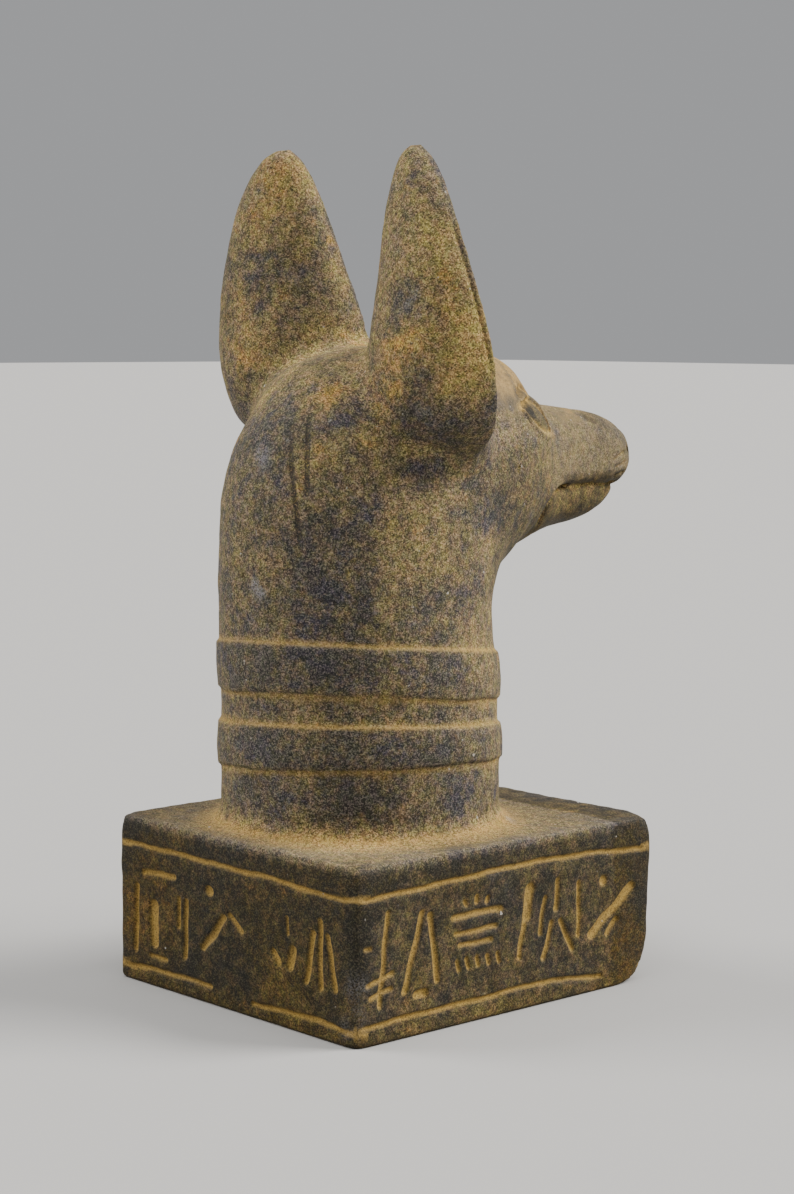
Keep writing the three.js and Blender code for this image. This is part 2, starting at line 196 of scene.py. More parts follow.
# Worn corners of the plinth, as the corner's place, which ways it faces, how much is gone and how softly
WORN_CORNERS = [
    ((-54.5, 59.9, 51), (-1, 1, 1), 2.9, 6.0),
    ((-54.5, 59.9, 51), (-1, 1, 0), 0.9, 3.0),
    ((-54.5, -60.9, 51), (-1, -1, 1), 1.9, 4.0),
    ((-54.5, -58.5, 0), (-1, -1, -1), 3.3, 5.0),
    ((54.5, 59.9, 51), (1, 1, 1), 1.0, 3.0),
    ((54.5, -60.9, 51), (1, -1, 1), 1.7, 4.0),
    ((54.5, -58.5, 0), (1, -1, -1), 1.5, 4.0),
]
# Chips knocked from the plinth's edges: place, how wide the soft rim is, and radius
CHIPS = [
    ((41, 60.4, 52), 3.4, 1.9),
    ((-55, -23, 51.6), 2.6, 1.3),
    ((-20, 60.6, -0.4), 2.8, 1.2),
    ((12, -61.8, 51.8), 3.2, 1.7),
    ((55.2, 18, 51.8), 2.8, 1.5),
]

# Where more (or less) ochre has stayed on the stone than round about: place, radius, amount
PATCHES = [
    (23, 19, 242, 9, 0.42), (32, 29, 196, 8, 0.22), (16, 21, 193, 9, 0.14), (31, 26, 219, 3.5, -0.26),
    (31, 26, 212, 3.0, -0.22), (24, 25, 208, 6, -0.06), (27, 27, 202, 3.5, -0.16), (-49, 22, 222, 9, 0.36),
    (-54, 20, 203, 10, 0.42), (-54, 19, 190, 10, 0.42), (-38, 29, 194, 7, 0.34), (-43, 27, 205, 4.5, -0.14),
    (-42, 28, 187, 5, -0.24), (-43, 24, 174, 8, -0.05), (-45, 16, 165, 6, -0.12), (-31, 31, 160, 9, 0.26),
    (-24, 39, 164, 8, 0.16), (-34, 33, 144, 8, 0.14), (-2, 51, 159, 9, -0.16), (-9, 46, 168, 5, -0.22),
    (-22, 46, 144, 9, -0.18), (-18, 50, 127, 7, -0.26), (-27, 43, 116, 10, -0.22), (-38, -9, 146, 8, -0.24),
    (-39, 3, 155, 7, -0.14), (-40, 19, 133, 8, 0.12), (-16, -54, 139, 10, 0.20), (-28, 43, 103, 10, -0.16),
    (-38, 29, 80, 10, -0.14), (-23, 46, 84, 7, 0.20), (-31, 38, 66, 8, -0.22), (-54, -12, 22, 13, -0.26),
    (-54, 13, 24, 9, -0.18), (-54, 59, 28, 10, -0.20), (18, 60, 12, 9, -0.20), (8, 60, 38, 8, -0.14),
    (-30, 60, 12, 12, 0.12), (-12, 37, 179, 5, 0.44), (-23, 32, 175, 6, -0.22), (-28, 41, 144, 6, -0.24),
    (-9, 52, 145, 7, -0.10), (-41, 27, 176, 5, -0.08), (-37, 18, 158, 5, -0.22), (-35, -15, 168, 6, 0.22),
    (-56, 15, 186, 7, 0.16), (14, 37, 177, 5, 0.35), (7, 33, 184, 4, 0.40), (1, 21, 191, 4, 0.35),
    (40, 33, 118, 12, 0.25), (-40, -8, 110, 12, 0.30), (42, 34, 214, 8, -0.30), (-36, 29, 194, 5, 0.10),
    (-56, 16, 205, 7, 0.16), (-48, 22, 214, 6, 0.14), (52, 60, 20, 12, 0.30), (-54, -50, 8, 12, 0.25),
    (-54, 30, 6, 9, 0.15), (-25, 60, 6, 10, 0.20), (-28, 42, 134, 9, -0.14), (-36, 0, 141, 7, -0.16),
    (40, 60, 22, 14, 0.20), (-20, 60, 18, 9, 0.14), (20, 60, 47, 14, 0.14), (-25, 60, 47, 12, 0.12),
    (-54, -35, 24, 14, 0.18), (-54, -20, 45, 12, 0.14), (-54, 35, 46, 10, 0.12),
]
# Darker patches: stains, and painted shade under the nose and above the eye: place, radius, amount
DARK_PATCHES = [
    (-7, -84, 171, 5, 0.5), (-10, -72, 139, 6, 0.4), (-9, 46, 168, 5, 0.25), (31, 26, 217, 3, 0.15),
    (-43, 27, 205, 3, 0.15), (-39, -5, 150, 7, 0.25), (-25, -33, 179, 4, 0.5), (-12, -70, 141, 4, 0.3),
    (-11, -88, 151, 4, 0.4), (48, 31, 204, 9, 0.40), (43, 30, 222, 8, 0.28), (-12, -80, 165, 4, 0.25),
    (-8, -81, 170.4, 4.0, 0.9), (-49, 54, 51, 11, 0.45), (-52, 20, 51, 10, 0.35), (50, 58, 49, 12, 0.55),
]
# Where the ochre crust is redder: place, radius, amount
RUST_PATCHES = [
    (-37, 29, 192, 7, 1.0), (-33, 29, 179, 7, 1.0), (-48, 22, 203, 5, 0.5), (33, 28, 207, 7, 0.5),
    (33, 29, 192, 7, 0.6), (26, 19, 246, 6, 0.7), (31, 23, 234, 6, 0.5), (-14, 35, 180, 6, 0.6),
    (-24, 40, 165, 6, 0.3), (-40, 8, 120, 12, 0.3), (48, 60, 24, 15, 0.6), (-54, -50, 8, 12, 0.5),
]

# Pale scuffs: place, radius, amount
SCUFFS = [
    (-42.5, 27.5, 209, 2.2, 0.9), (-42.5, 28, 203, 1.8, 0.8), (-42, 28.5, 197, 1.6, 0.8),
    (-2, 51, 160, 4.0, 0.6), (-6, 53.5, 124, 2.6, 1.0), (-5, 53.5, 121, 1.8, 0.9), (-10, 46, 167, 1.4, 0.9),
    (-46, 20, 213, 2.0, 0.5), (-43, 24, 176, 3.0, 0.5), (19, 20, 214, 4.0, 0.4), (-33, -20, 51, 3.0, 0.5),
    (-12, 54, 168, 2.0, 0.5), (30, 43, 128, 3.0, 0.7), (41, -6, 98, 2.5, 0.7), (22, -78, 160, 2.5, 0.5),
    (-54, 59.5, 8, 5, 0.30), (-54, 59.5, 20, 5, 0.30),
]
# Fine lines, both ends of each stretch: the cuts where the ears' rims end, on both sides, and the
# dark scratches down the back of the head
RIM_CUTS = [(-54.2, 7.0, 171.4, -52.4, 8.8, 168.4)]
SCRATCHES = [
    (-10.8, 46.8, 165.0, -13.2, 48.3, 158.2),
    (-13.2, 48.3, 158.2, -15.8, 49.1, 149.8),
    (-15.8, 49.1, 149.8, -17.6, 49.2, 138.8),
    (-12.7, 41.7, 172.6, -15.0, 43.8, 166.7),
    (-15.0, 43.8, 166.7, -17.1, 45.9, 160.0),
    (-17.1, 45.9, 160.0, -18.7, 47.4, 151.6),
]
RIM_CUT_DEPTH = 0.8
SCRATCH_DEPTH = 0.4
LINE_HALF_WIDTH = 0.6
LINE_MARGIN = 3
# Crumbs of ochre above the eyes' outer corners, and the painted shadow in the pits below them, in side view
EYE_CRUMBS = [(-27.2, 175.3, -33.4, 176.8), (-38.8, 180.2, -36.6, 177.4)]
EYE_PIT_SHADOWS = [(-30.0, 173.9, -34.6, 174.0)]

# Cuts in the plinth: how far their walls reach inside and outside their half width, and their waver, as
# waves of some height, turns per millimetre across and up, and start
CUT_WALL_IN = 0.65
CUT_WALL_OUT = 0.25
CUT_WAVER = [(0.06, 0.9, 0.35, 0), (0.16, 0.31, -0.4, 1)]

# Border lines on the plinth's faces, as [across, height]
BORDER_HALF_WIDTH = 0.85
BORDER_DEPTH = 0.9
BACK_UPPER_BORDER = [[-55, 42.1], [-49, 41.7], [-35, 41.6], [-20, 42.5], [2, 42.4], [30, 42.7], [55, 42.4]]
SIDE_UPPER_BORDER = [[-61, 40.7], [-31, 42.9], [-6, 43.4], [19, 42.8], [42, 42.1], [57, 41.8], [60, 42.1]]
BACK_LOWER_BORDERS = [
    [[-55, 3.9], [-46, 4.7], [-35, 5.4], [-20, 4.7], [-9.5, 4.3]],
    [[10, 5.6], [22.5, 5.6], [39, 5.2], [55, 4.2]],
]
SIDE_LOWER_BORDERS = [[[-38.5, 4.4], [-23, 6.1], [-6, 6.9], [10, 6.3], [41, 6.1], [56, 5.5], [60, 4]]]
PLAIN_UPPER_BORDER = [[-61, 41.4], [-30, 42.4], [0, 41.8], [30, 42.6], [61, 42]]
PLAIN_LOWER_BORDERS = [[[-61, 4.4], [-24, 5.4], [12, 5], [44, 5.8], [61, 4.8]]]

# Marks on the plinth's faces, as in the solid: across, height, across, height, width
MARK_DEPTH = 0.85
BACK_MARKS = [
    [46, 31, 47, 9, 2], [44, 34.5, 27, 35.5, 2], [38, 27, 37.5, 12, 4], [40, 9.5, 31, 9.5, 1.6],
    [25.5, 30, 25.5, 20, 1.6], [22, 30, 22.5, 11, 2], [12.6, 34, 9, 34, 3.6], [14.5, 15.5, 3, 28, 2.6],
    [2, 29, -5, 24, 2], [-18, 22, -22, 18, 2.4], [-25, 33, -25, 27, 1.4], [-27.5, 25, -26, 17, 2.8],
    [-36.5, 31, -33, 14.5, 2], [-39.3, 35, -39.3, 14, 2], [-42, 31, -46, 14.5, 2],
]
SIDE_MARKS = [
    [48, 38, 51, 10, 1.8], [57, 28, 54, 28, 1.4], [56, 17, 45.5, 20, 1.6], [55, 13.5, 46, 15.5, 1.6],
    [34.5, 36, 42, 12.5, 2], [32, 35, 28.8, 13.5, 2], [38.5, 12, 32.5, 12, 2.4],
    [18.5, 36.5, 17.5, 34, 1.6], [13.6, 37.5, 13.6, 34, 1.6], [9, 36.5, 10, 34, 1.6],
    [24, 31.8, 3, 31.8, 2], [22.5, 26.8, 5, 26.8, 1.6], [21, 23.3, 7, 23.3, 1.6],
    *[[across, 19.5, across - 1, 15.5, 1.4] for across in (21.5, 17.5, 13.5, 9.5, 5.5)],
    [-8.4, 37.6, -6.6, 26, 3.6], [-6, 27, -3.6, 15, 1.8], [-19.7, 37.5, -18.8, 27, 2.2],
    [-14.5, 33, -12, 21, 1.6], [-17.6, 25, -13.6, 13, 2], [-20.4, 25, -26.6, 14, 2],
    [-28.6, 35.5, -28.6, 17.5, 1.8], [-37.4, 33.7, -41, 33.7, 3.4], [-33, 17, -53, 31, 3.2],
    [-40.5, 16.5, -46, 21.5, 2],
]
PLAIN_MARKS = [[across, 34 if across % 20 == 0 else 30, across, 14, 2] for across in range(-40, 41, 10)]

# The plinth's faces: the axis each looks along, which way, its place, its half span across, its cuts
FACES = [
    (1, 1, PLINTH_BACK, PLINTH_HALF_WIDTH, BACK_MARKS, BACK_UPPER_BORDER, BACK_LOWER_BORDERS),
    (0, -1, PLINTH_HALF_WIDTH, PLINTH_BACK, SIDE_MARKS, SIDE_UPPER_BORDER, SIDE_LOWER_BORDERS),
    (1, -1, PLINTH_FRONT_TOP, PLINTH_HALF_WIDTH, PLAIN_MARKS, PLAIN_UPPER_BORDER, PLAIN_LOWER_BORDERS),
    (0, 1, PLINTH_HALF_WIDTH, PLINTH_BACK, PLAIN_MARKS, PLAIN_UPPER_BORDER, PLAIN_LOWER_BORDERS),
]
FACE_SLAB = 5.0

# Stone colours, linear: bare slate in its two hues, the crusts on it, and what lies over them
SLATE = (0.046, 0.041, 0.032)
BLUE_SLATE = (0.036, 0.034, 0.040)
OCHRE = (0.340, 0.242, 0.072)
RUST = (0.360, 0.195, 0.034)
FILL = (0.50, 0.318, 0.078)
DUST = (0.178, 0.130, 0.060)
PALE_DUST = (0.425, 0.268, 0.085)
SCUFF = (0.30, 0.285, 0.29)
CHIP = (0.50, 0.47, 0.42)
SCRATCH = (0.018, 0.017, 0.019)
# Colours that multiply or add to these: the hues the stone wavers between, the tint of stains and of
# painted shade, and the painted glint of the grains
OLIVE_TINT = (0.93, 1.05, 0.88)
MAUVE_TINT = (1.08, 0.95, 1.14)
STAIN_AND_SHADE_TINT = (0.225, 0.200, 0.055)
PAINTED_GLINT = (0.092, 0.080, 0.064)
# The masks that the mesh carries for the finish, and its noises as scale, detail, roughness, distortion
MASKS = ("cut", "hollow", "edge", "shelter", "ochre", "dust", "dark", "scuff", "rust")
NOISES = {
    "blotch": (45, 6, 0.68, 0.3),
    "slate_drift": (75, 4),
    "rust_drift": (110, 4, 0.6),
    "patch": (230, 4, 0.75),
    "chips": (420, 1),
    "hue_drift": (430, 2, 0.7),
    "mottle": (620, 3, 0.7),
    "clumps": (1900, 2, 0.7),
}
GRAIN_SCALE = 3000

# Camera, fitted to the photograph
CAMERA_AZIMUTH = math.radians(227.63)
CAMERA_ELEVATION = math.radians(6.03)
CAMERA_ROLL = math.radians(0.27)
CAMERA_DISTANCE = 762.97
CAMERA_SIDESTEP = 3.24
CAMERA_TARGET_HEIGHT = 117.68
CAMERA_LENS = 75.94
CAMERA_SENSOR = 36.0

# Suns: azimuth and elevation in degrees, strength, how wide they look in degrees, and colour
WARM_WHITE = (1, 0.97, 0.93)
SUNS = {
    "key": (322, 42, 4.6, 30, WARM_WHITE),
    "fill": (128, 38, 2.2, 30, WARM_WHITE),
    "top": (228, 80, 1.4, 40, (1, 1, 1)),
}
SKY = (0.80, 0.81, 0.83)
SKY_STRENGTH = 0.45
FLOOR = (0.42, 0.415, 0.405)
FLOOR_ROUGHNESS = 0.9
FLOOR_HALF_SIZE = 12.0


def curve_through(stations, at):
    """Monotone cubic curves through stations [s, a, b, ...], read at many places."""
    table = np.array(stations, float)
    s, values = table[:, 0], table[:, 1:]
    slope = (values[1:] - values[:-1]) / (s[1:] - s[:-1])[:, None]
    same_way = slope[:-1] * slope[1:] > 0
    total = np.where(same_way, slope[:-1] + slope[1:], 1)
    inner = np.where(same_way, 2 * slope[:-1] * slope[1:] / total, 0)
    tangent = np.vstack([slope[:1], inner, slope[-1:]])
    at = np.clip(np.asarray(at, float), s[0], s[-1])
    piece = np.clip(np.searchsorted(s, at) - 1, 0, len(s) - 2)
    span = (s[piece + 1] - s[piece])[..., None]
    u = (at - s[piece])[..., None] / span
    start, end = tangent[piece] * span, tangent[piece + 1] * span
    rise = values[piece + 1] - values[piece]
    return values[piece] + u * (start + u * (3 * rise - 2 * start - end + u * (start + end - 2 * rise)))


def ramp(low, high, value):
    """0 below low, 1 above high, and a smooth rise between them."""
    t = np.clip((value - low) / (high - low), 0, 1)
    return t * t * (3 - 2 * t)


def bell(value, width):
    """1 at 0, and a smooth fall to 0 on both sides of it."""
    return np.exp(-((value / width) ** 2))


def near_segments(points, segments, half_width):
    """1 along the middle of any of some short straight lines, and 0 away from them."""
    share = np.zeros(points.shape[:-1])
    for segment in segments:
        start, end = np.array(segment, float).reshape(2, -1)
        ahead = end - start
        along = np.clip((points - start) @ ahead / (ahead @ ahead), 0, 1)
        reach = np.linalg.norm(points - start - along[..., None] * ahead, axis=-1)
        share = np.maximum(share, bell(reach, half_width))
    return share


def superellipse(count, ahead_power, behind_power):
    """Unit points round a superellipse, as along and side, from its end at +1."""
    angle = 2 * np.pi * np.arange(count) / count
    power = np.where(np.cos(angle) > 0, ahead_power, behind_power)
    along, side = np.cos(angle), np.sin(angle)
    return np.sign(along) * np.abs(along) ** (2 / power), np.sign(side) * np.abs(side) ** (2 / power)


def section_ring(s, station):
    """A ring of the head or the jaw: turned about the throat by s degrees, or ahead of it past 90."""
    near, widest, far, half_width, far_power, near_power = station
    along, side = superellipse(HEAD_SIDES, far_power, near_power)
    reach = widest + along * np.where(along > 0, far - widest, widest - near)
    x = -side * half_width
    if s > FULL_TURN:
        return np.stack([x, np.full(HEAD_SIDES, THROAT_Y - (s - FULL_TURN)), THROAT_Z + reach], 1)
    angle = math.radians(s)
    return np.stack([x, THROAT_Y + reach * math.cos(angle), THROAT_Z + reach * math.sin(angle)], 1)


def section_rings(stations, steps):
    """The head's or the jaw's rings, spaced by rows of start, end and step."""
    places = np.concatenate([np.arange(*row) for row in steps])
    return [section_ring(s, row) for s, row in zip(places, curve_through(stations, places))]


def neck_ring(z, station):
    """A round ring of the neck."""
    axis_y, radius = station
    along, side = superellipse(HEAD_SIDES, 2, 2)
    return np.stack([-side * radius, axis_y + along * radius, np.full(HEAD_SIDES, z)], 1)


def head_rings():
    """The rings from the neck's foot up to the throat and on to the nose."""
    heights = np.arange(NECK_STATIONS[0][0], THROAT_Z, NECK_STEP)
    neck = [neck_ring(z, row) for z, row in zip(heights, curve_through(NECK_STATIONS, heights))]
    return neck + section_rings(HEAD_STATIONS, HEAD_STEPS)


def ear_rings(side):
    """The rings of one ear: a rounded back, and a front hollowed between two rims."""
    first = EAR_STATIONS[0][0]
    heights = np.linspace(first, EAR_STATIONS[-1][0], EAR_RINGS)
    across, forward = superellipse(EAR_SIDES, 2, 2)
    rings = []
    for z, row in zip(heights, curve_through(EAR_STATIONS, heights)):
        middle_x, middle_y, half_width, bulge, hollow = row
        rim = min(EAR_RIM, half_width / 3)
        w = across * half_width
        bowl = np.maximum(0, 1 - (w / (half_width - rim)) ** 2)
        front = rim * np.sqrt(np.maximum(forward, 0)) * RIM_ROUNDNESS - hollow * bowl
        n = np.where(forward > 0, front, bulge * forward)
        x = side * (middle_x + w * math.cos(EAR_TURN) + n * math.sin(EAR_TURN))
        y = middle_y + w * math.sin(EAR_TURN) - n * math.cos(EAR_TURN)
        height = first + (z - first) * EAR_STRETCH[side]
        rings.append(np.stack([x, y, np.full(EAR_SIDES, height)], 1))
    return rings


def ear_place(x, y, z, side):
    """Places near an ear as their distances across it and ahead of its rim's plane, and its half width."""
    station = EAR_STATIONS[0][0] + (z - EAR_STATIONS[0][0]) / EAR_STRETCH[side]
    row = curve_through(EAR_STATIONS, station)
    out_x, out_y = side * x - row[..., 0], y - row[..., 1]
    across = out_x * math.cos(EAR_TURN) + out_y * math.sin(EAR_TURN)
    ahead = out_x * math.sin(EAR_TURN) - out_y * math.cos(EAR_TURN)
    return across, ahead, row[..., 2]


def rim_groove(x, y, z, side):
    """1 along the shallow groove between an ear's back and its outer rim, and 0 off it."""
    across, ahead, half_width = ear_place(x, y, z, side)
    line = bell(ahead - RIM_GROOVE_PLACE, LINE_HALF_WIDTH) * ramp(-3, -1, across - half_width)
    starts, full, fades, ends = RIM_GROOVE_HEIGHTS
    return line * ramp(starts, full, z) * ramp(ends, fades, z)


def distance_field(rings):
    """The signed distances round a closed loft through rings, on the sculpting grid."""
    rings = np.array(rings)
    rows, columns = rings.shape[:2]
    row, column = np.meshgrid(np.arange(rows - 1), np.arange(columns), indexing="ij")
    a = row * columns + column
    b = row * columns + (column + 1) % columns
    quads = np.stack([a, b, b + columns, a + columns], -1).reshape(-1, 4)
    points = np.vstack([rings.reshape(-1, 3), rings[0].mean(0), rings[-1].mean(0)])
    around = np.arange(columns)
    after = (around + 1) % columns
    last = (rows - 1) * columns
    hub = np.full(columns, rows * columns)
    caps = np.vstack([np.stack([hub, after, around], 1), np.stack([hub + 1, last + around, last + after], 1)])
    grid = openvdb.FloatGrid.createLevelSetFromPolygons(
        points.astype(np.float32),
        triangles=caps.astype(np.uint32),
        quads=quads.astype(np.uint32),
        transform=openvdb.createLinearTransform(VOXEL),
        halfWidth=BAND / VOXEL,
    )
    field = np.empty(GRID_SHAPE, np.float32)
    grid.copyToArray(field, ijk=tuple(int(i) for i in GRID_LOW))
    return field


def blend_union(a, b, reach):
    """Two fields joined, with a fillet where they meet."""
    overlap = np.maximum(reach - np.abs(a - b), 0)
    return np.minimum(a, b) - overlap**2 / (4 * reach)


def blend_cut(field, cutter, reach):
    """A field less the inside of a cutter, with the new edge softened."""
    cutter = np.clip(cutter, -BAND, BAND)
    overlap = np.maximum(reach - np.abs(field + cutter), 0)
    return np.maximum(field, -cutter) + overlap**2 / (4 * reach)


def grid_axes():
    """The places of the grid's voxels along each axis, ready to broadcast."""
    x, y, z = [(GRID_LOW[axis] + np.arange(GRID_SHAPE[axis], dtype=np.float32)) * VOXEL for axis in range(3)]
    return x[:, None, None], y[None, :, None], z[None, None, :]


def row_at(height):
    """The grid's row just below a height."""
    return int((height - GRID_LOW[2] * VOXEL) / VOXEL)


def read_corners(table, base, part):
    """Values between the eight corners of a table's cells; past its end, the table starts again."""
    total = np.zeros(len(base), np.float32)
    for corner in range(8):
        step = np.array([corner & 1, corner >> 1 & 1, corner >> 2 & 1])
        weight = np.prod(np.where(step, part, 1 - part), axis=1)
        i, j, k = ((base + step) % table.shape).T
        total += weight * table[i, j, k]
    return total


def sample(field, points):
    """A field's values at points, in millimetres."""
    place = points / VOXEL - GRID_LOW
    base = np.clip(np.floor(place).astype(int), 0, np.array(GRID_SHAPE) - 2)
    return read_corners(field, base, place - base)


def lattice_noise(points, cell, seed):
    """Smooth random values from -1 to 1 at points, changing over about a cell."""
    table = np.random.RandomState(seed).uniform(-1, 1, (32, 32, 32)).astype(np.float32)
    place = np.asarray(points, np.float32) / cell
    base = np.floor(place).astype(int)
    part = place - base
    return read_corners(table, base, part * part * (3 - 2 * part))


def layered_noise(points, layers):
    """The sum of lattice noises, each with its height, its cell and its seed."""
    return sum(height * lattice_noise(points, cell, seed) for height, cell, seed in layers)


def plinth_field():
    """The plinth as a block with rounded edges and a front that leans out a little."""
    x, y, z = grid_axes()
    front = PLINTH_FRONT_FOOT + (PLINTH_FRONT_TOP - PLINTH_FRONT_FOOT) * z / PLINTH_HEIGHT
    over_x = np.abs(x) - PLINTH_HALF_WIDTH + EDGE_RADIUS
    over_y = np.maximum(y - PLINTH_BACK, -y - front) + EDGE_RADIUS
    over_z = np.abs(z - PLINTH_HEIGHT / 2) - PLINTH_HEIGHT / 2 + EDGE_RADIUS
    outside = np.sqrt(np.maximum(over_x, 0) ** 2 + np.maximum(over_y, 0) ** 2 + np.maximum(over_z, 0) ** 2)
    inside = np.minimum(np.maximum(np.maximum(over_x, over_y), over_z), 0)
    return np.clip(outside + inside - EDGE_RADIUS, -BAND, BAND).astype(np.float32)


def collar_edges(x, y):
    """The heights of the lower and upper edge of each collar band, at places round the neck."""
    for edges in COLLAR_BANDS:
        yield [height + rise_x * x + rise_y * (y - COLLAR_AXIS_Y) for height, rise_x, rise_y in edges]


def add_collar(field):
    """Raises the two bands of the collar from the neck."""
    x, y, z = grid_axes()
    rows = slice(*map(row_at, COLLAR_HEIGHTS))
    z = z[:, :, rows]
    angle = np.arctan2(y - COLLAR_AXIS_Y, x)
    waver = sum(height * np.sin(turns * angle + start) for height, turns, start in COLLAR_WAVER)
    for (bottom, top), (lower_share, upper_share) in zip(collar_edges(x, y), WAVER_SHARES):
        bottom = bottom + waver * lower_share
        top = top + waver * upper_share
        step = ramp(-BAND_EDGE / 2, BAND_EDGE / 2, z - bottom)
        step = step * ramp(-BAND_EDGE / 2, BAND_EDGE / 2, top - z)
        share = np.clip((z - bottom) / (top - bottom), 0, 1)
        crown = 1 - BAND_CROWN + BAND_CROWN * (1 - (2 * share - 1) ** 2)
        field[:, :, rows] -= (BAND_SWELL * step * crown).astype(np.float32)


def cut_profile(half_width, reach):
    """How deep a cut is at a distance from its middle, from 0 to 1."""
    return 1 - ramp(half_width - CUT_WALL_IN, half_width + CUT_WALL_OUT, reach)


def stroke_depth(across, up, mark):
    """How deep one straight stroke is cut at places on a face, from 0 to 1."""
    a0, z0, a1, z1, width = mark
    length = math.hypot(a1 - a0, z1 - z0)
    ux, uz = (a1 - a0) / length, (z1 - z0) / length
    inner = max(length / 2 - width / 2, 0)
    along = np.abs((across - (a0 + a1) / 2) * ux + (up - (z0 + z1) / 2) * uz)
    aside = (across - a0) * uz - (up - z0) * ux
    return cut_profile(width / 2, np.hypot(np.maximum(along - inner, 0), aside))


def border_depth(across, up, stations):
    """How deep a border line is cut at places on a face, from 0 to 1."""
    height = curve_through(stations, across)[..., 0]
    beyond = np.maximum(np.maximum(stations[0][0] - across, across - stations[-1][0]), 0)
    return cut_profile(BORDER_HALF_WIDTH, np.hypot(up - height, beyond))


def carving(across, up, marks, upper, lowers):
    """The depth of all that is cut in one face of the plinth, with the hand's waver."""
    waver = sum(height * np.sin(across * a + up * b + start) for height, a, b, start in CUT_WAVER)
    depth = 0
    for border in (upper, *lowers):
        depth = np.maximum(depth, BORDER_DEPTH * border_depth(across, up + waver, border))
    for mark in marks:
        depth = np.maximum(depth, MARK_DEPTH * stroke_depth(across + waver, up + waver, mark))
    return depth


def eye_frame(y, z):
    """How far places in side view are inside the lids, off their outline and over the upper one, in
    millimetres, and along the eye, from its outer corner at 0 to its inner one at 1."""
    across = EYE_INNER - EYE_OUTER
    length = np.hypot(*across)
    ahead_y, ahead_z = across / length
    out_y, out_z = y - EYE_OUTER[0], z - EYE_OUTER[1]
    along = (out_y * ahead_y + out_z * ahead_z) / length
    rise = out_y * ahead_z - out_z * ahead_y
    within = np.clip(along, 0, 1)
    arch = 4 * within * (1 - within)
    beyond = length * np.maximum(np.maximum(-along, along - 1), 0)
    above = rise - UPPER_LID_BOW * arch**UPPER_LID_FULLNESS
    below = LOWER_LID_BOW * arch - rise
    return SimpleNamespace(
        inside=np.where(beyond > 0, -beyond, np.minimum(-above, -below)),
        outline=np.hypot(np.minimum(np.abs(above), np.abs(below)), beyond),
        over=np.hypot(np.maximum(above, 0), beyond),
        along=along,
    )


def lid_crease(eye, width):
    """1 along the crease over the upper lid, and 0 off it."""
    return bell(eye.over - LID_WIDTH - CREASE_GAP, width) * (eye.over > 0)


def eye_relief(y, z):
    """How deep the eye's cuts go at places in side view; a raised lid is below 0."""
    eye = eye_frame(y, z)
    opening = ramp(-0.5, 0.5, eye.inside)
    ball = EYE_DEPTH - 0.4 * ramp(0.35, 0.6, eye.along)
    ball += EYE_PIT_DEPTH * ramp(0.36, 0.12, eye.along)
    ball -= BALL_BULGE * ramp(0, 2.4, eye.inside) * ramp(0.1, 0.4, eye.along)
    lid = LID_HEIGHT * bell(eye.outline - LID_WIDTH / 2, 1.0) * (eye.inside < 0.3)
    lid *= np.where(eye.over > 0, 0.45 + 0.55 * ramp(0.35, 0.7, eye.along), 1)
    crease = lid_crease(eye, 1.0) * ramp(1.15, 0.7, eye.along) * ramp(-0.12, 0.04, eye.along)
    middle_y, middle_z, reach, depth = SOCKET
    socket = depth * np.exp(-((y - middle_y) ** 2 + (z - middle_z) ** 2) / reach**2)
    return opening * ball - lid * (1 - opening) + crease + socket


def nose_relief(y, z):
    """How deep the cuts beside the nose go at places in side view."""
    depth = NOSTRIL_DEPTH * stroke_depth(y, z, NOSTRIL)
    for tick in NOSE_TICKS:
        depth = np.maximum(depth, TICK_DEPTH * stroke_depth(y, z, tick))
    return depth


def mouth_line(y, z):
    """1 along the mouth's corner, where its line turns down and dies out, and 0 off it."""
    reach = np.full(np.broadcast(y, z).shape, 99.0)
    for (y0, z0), (y1, z1) in zip(MOUTH_CORNER, MOUTH_CORNER[1:]):
        ahead_y, ahead_z = y1 - y0, z1 - z0
        share = np.clip(((y - y0) * ahead_y + (z - z0) * ahead_z) / (ahead_y**2 + ahead_z**2), 0, 1)
        reach = np.minimum(reach, np.hypot(y - y0 - share * ahead_y, z - z0 - share * ahead_z))
    return bell(reach, MOUTH_HALF_WIDTH) * ramp(MOUTH_CORNER[-1][1] - 2, MOUTH_CORNER[-2][1], z)


def carve_face(field):
    """Cuts the eyes and the nose in both sides of the head, straight in from the side."""
    x, y, z = grid_axes()
    ys, zs = y.ravel(), z.ravel()
    back = int(np.searchsorted(ys, FACE_BACK))
    low, high = np.searchsorted(zs, FACE_HEIGHTS)
    y, z = ys[:back, None], zs[None, low:high]
    eyes = np.where(y > NOSE_BACK, eye_relief(y, z), 0)
    nose = np.where(y > NOSE_BACK, 0, nose_relief(y, z)) + MOUTH_CORNER_DEPTH * mouth_line(y, z)
    for depth, off_middle in ((eyes, EYES_OFF_MIDDLE), (nose, NOSE_OFF_MIDDLE)):
        share = ramp(*off_middle, np.abs(x)).astype(np.float32)
        field[:, :back, low:high] += share * depth.astype(np.float32)[None]


def carve_ears(field):
    """Cuts the groove beside each ear's outer rim."""
    x, y, z = grid_axes()
    low = row_at(EAR_STATIONS[0][0] + 2)
    for side in (1, -1):
        half = (x * side > HALF_HEAD_FROM).ravel()
        line = rim_groove(x[half], y, z[:, :, low:], side)
        field[half, :, low:] += (RIM_GROOVE_DEPTH * line).astype(np.float32)


